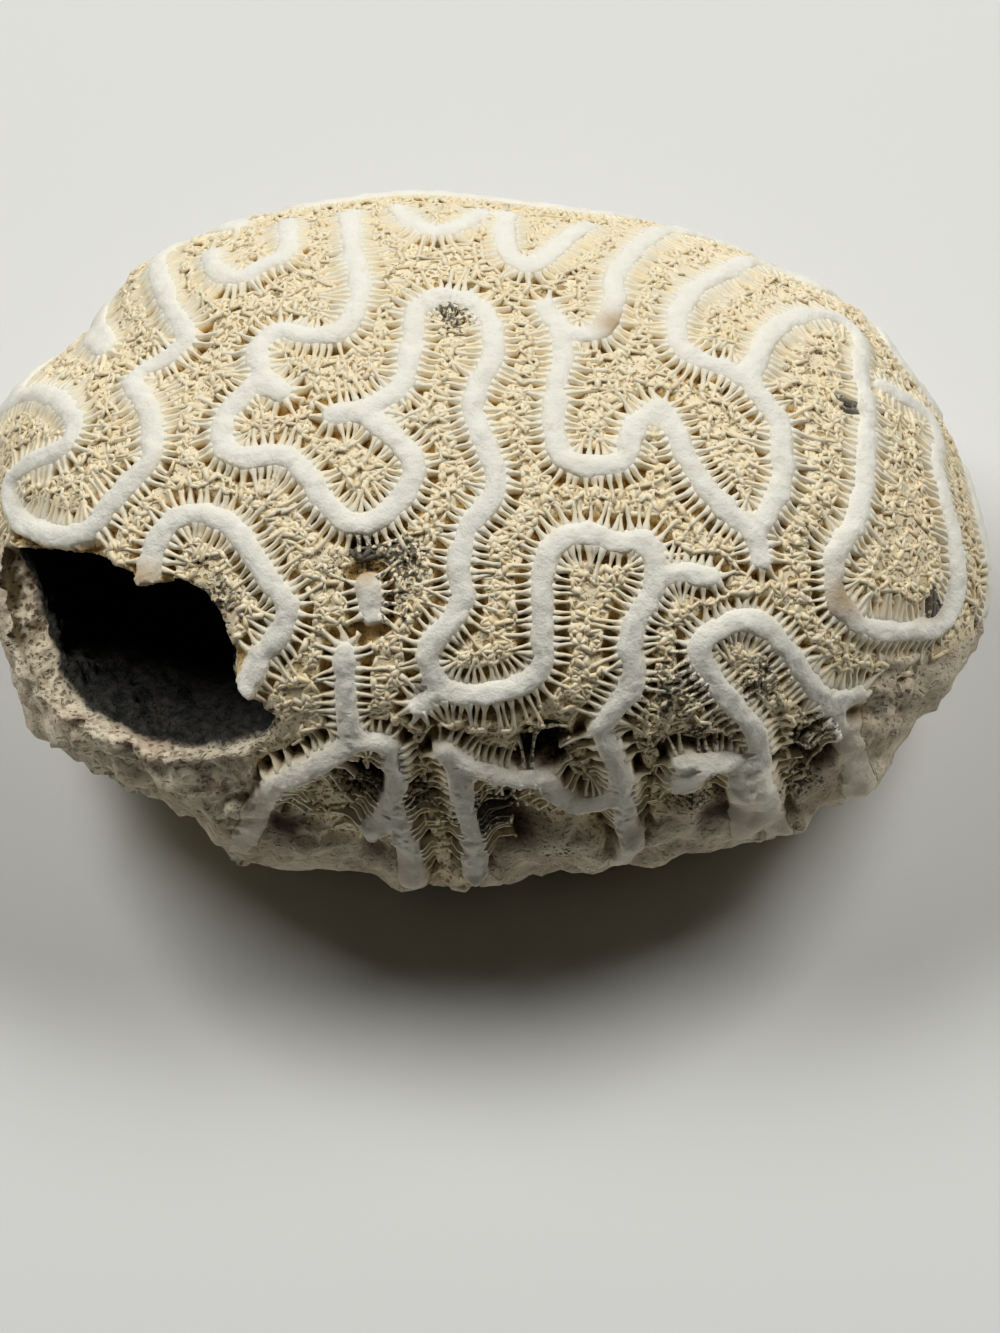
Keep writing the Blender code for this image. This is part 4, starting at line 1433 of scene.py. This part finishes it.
class CORAL_OT_sponge(bpy.types.Operator):
    """Build the sponge of small struts that fills the middle of every valley"""

    bl_idname = "coral.sponge"
    bl_label = "Valley Sponge"

    def execute(self, context):
        sizes = context.scene.coral_sizes
        surface = coral_surface()
        rng = np.random.default_rng(SPONGE_SEED)
        numbers = rng.choice(np.flatnonzero(surface.bank > -0.2 * MM), SPONGE_TRIES)
        normal = surface.normals[numbers]
        loose = rng.normal(0, 0.35, (len(numbers), 3)) * MM
        place = surface.points[numbers] + loose - normal * (loose * normal).sum(axis=1)[:, None]
        layers = (surface.bank, surface.side, surface.share, surface.under, surface.pits)
        bank, side, share, under, pits = surface.near(place, *layers)
        keep = (bank > 0.15 * MM) & (side > 0.7 * MM) & (share > 1.05) & (under < 0.5) & (pits < 0.4)
        place = place[keep]
        fixed = len(surface.septum_ends)
        seen = surface.near(place, surface.seen)
        gap = sizes.hole_spacing * np.where(seen > 0.1, 1.0, 1.2) * rng.uniform(0.7, 1.45, len(place))
        layers = (surface.normals, surface.low, surface.swell, surface.under)
        smooth, low, swell, under = surface.near(place, *layers)
        rise = sizes.ridge_height / MM + swell - LOW_RIDGE_DROP * low - UNDER_DROP * under
        rise = rise + rng.uniform(-0.2, 0.03, len(place))
        place = np.concatenate([surface.septum_ends, place + smooth * (rise * MM)[:, None]])
        gap = np.concatenate([np.full(fixed, 0.7 * sizes.hole_spacing), gap])
        place = place[spread_out(place, gap)]
        pairs = netting(place, 2.1 * sizes.hole_spacing)
        gloom = surface.near(place[pairs[:, 0]], surface.low)
        pairs = pairs[rng.uniform(0, 1, len(pairs)) > 0.2 + 0.4 * gloom]
        self.struts(context, surface, rng, place[pairs[:, 0]], place[pairs[:, 1]])
        return {"FINISHED"}

    def struts(self, context, surface, rng, first, last):
        """Four-sided struts, deeper than they are wide."""
        sizes = context.scene.coral_sizes
        middle = (first + last) / 2
        normal, seen, low = surface.near(middle, surface.normals, surface.seen, surface.low)
        axis = unit(last - first)
        across = unit(np.cross(axis, unit(normal)))
        upward = np.cross(across, axis)
        template, faces = plate_template(1)
        u, w, v = template.T
        turned_w = (w - v)[None, :]
        turned_v = (w + v - 1)[None, :]
        count = len(first)
        thick = sizes.strut_thickness * rng.uniform(0.6, 1.4, count)[:, None] * (1 - 0.4 * low[:, None])
        tall = np.where(turned_v > 0, STRUT_RISE, STRUT_ROOT) * np.ones_like(thick)
        long = np.linalg.norm(last - first, axis=1)[:, None] + 0.1 * MM
        points = (
            middle[:, None, :]
            + axis[:, None, :] * ((u - 0.5)[None, :] * long)[:, :, None]
            + across[:, None, :] * (turned_w * thick * 0.5)[:, :, None]
            + upward[:, None, :] * (turned_v * tall)[:, :, None]
        )
        layers = {
            "shade": rng.uniform(0, 1, count)[:, None],
            "deep": np.clip(-turned_v, 0, 1),
            "stain_and_pit_shade": surface.spots(STAINS_AND_PIT_SHADES, middle)[:, None],
        }
        names = ("valley_sponge_above", "valley_sponge_around")
        finish = strut_finish(context.scene.coral_colours)
        link_halves(names, seen > SPLIT_SEEN, points, faces, layers, finish)


class CORAL_OT_stage(bpy.types.Operator):
    """Build the pale floor, the soft light and the camera"""

    bl_idname = "coral.stage"
    bl_label = "Stage"

    def execute(self, context):
        scene = context.scene
        sight = Sight()
        bm = bmesh.new()
        bmesh.ops.create_grid(bm, x_segments=2, y_segments=2, size=FLOOR_HALF)
        mesh = bpy.data.meshes.new("floor")
        bm.to_mesh(mesh)
        bm.free()
        made = Finish("pale_floor")
        colour = (*scene.coral_colours.floor, 1.0)
        mesh.materials.append(made.finish(colour, 0.7, made.bump(made.noise(1.2), 0.1, 0.05)))
        self.placed(scene, "floor", mesh)
        camera = bpy.data.cameras.new("camera")
        camera.lens = sight.pixels_away / PICTURE[1] * FILM_MM
        camera.sensor_width = FILM_MM
        camera.clip_start, camera.clip_end = CLIPPING
        scene.camera = self.placed(scene, "camera", camera, sight.place, sight.turn)
        for name, place in LAMPS.items():
            light = bpy.data.lights.new(name, "AREA")
            light.shape = "RECTANGLE"
            light.size, light.size_y = LAMP_SIZE
            light.energy = LAMP_POWER
            light.color = LAMP_COLOUR
            turn = (Vector(place) - LAMPS_AIM).to_track_quat("Z", "Y")
            self.placed(scene, name, light, place, turn)
        scene.world = bpy.data.worlds.new("soft_room")
        scene.world.use_nodes = True
        room = scene.world.node_tree.nodes["Background"]
        room.inputs["Color"].default_value = ROOM_COLOUR
        room.inputs["Strength"].default_value = ROOM_STRENGTH
        scene.view_settings.view_transform = "Standard"
        scene.view_settings.look = "Medium High Contrast"
        return {"FINISHED"}

    def placed(self, scene, name, data, place=(0, 0, 0), turn=(1, 0, 0, 0)):
        obj = bpy.data.objects.new(name, data)
        obj.location = place
        obj.rotation_mode = "QUATERNION"
        obj.rotation_quaternion = turn
        scene.collection.objects.link(obj)
        return obj


class CORAL_PT_panel(bpy.types.Panel):
    """Lists the coral's pieces"""

    bl_idname = "CORAL_PT_panel"
    bl_label = "Fossil Brain Coral"
    bl_space_type = "VIEW_3D"
    bl_region_type = "UI"
    bl_category = "Coral"

    def draw(self, context):
        for operator in OPERATORS:
            self.layout.operator(operator.bl_idname)
        for group in (context.scene.coral_sizes, context.scene.coral_colours):
            for name in type(group).__annotations__:
                self.layout.prop(group, name)


OPERATORS = (CORAL_OT_lump, CORAL_OT_septa, CORAL_OT_sponge, CORAL_OT_stage)
CLASSES = (CoralSizes, CoralColours, *OPERATORS, CORAL_PT_panel)


def register():
    for cls in CLASSES:
        bpy.utils.register_class(cls)
    bpy.types.Scene.coral_sizes = PointerProperty(type=CoralSizes)
    bpy.types.Scene.coral_colours = PointerProperty(type=CoralColours)


def unregister():
    del bpy.types.Scene.coral_colours
    del bpy.types.Scene.coral_sizes
    for cls in reversed(CLASSES):
        bpy.utils.unregister_class(cls)


def main():
    register()
    bpy.ops.coral.septa()
    bpy.ops.coral.sponge()
    bpy.ops.coral.lump()
    bpy.ops.coral.stage()


if __name__ == "__main__":
    main()
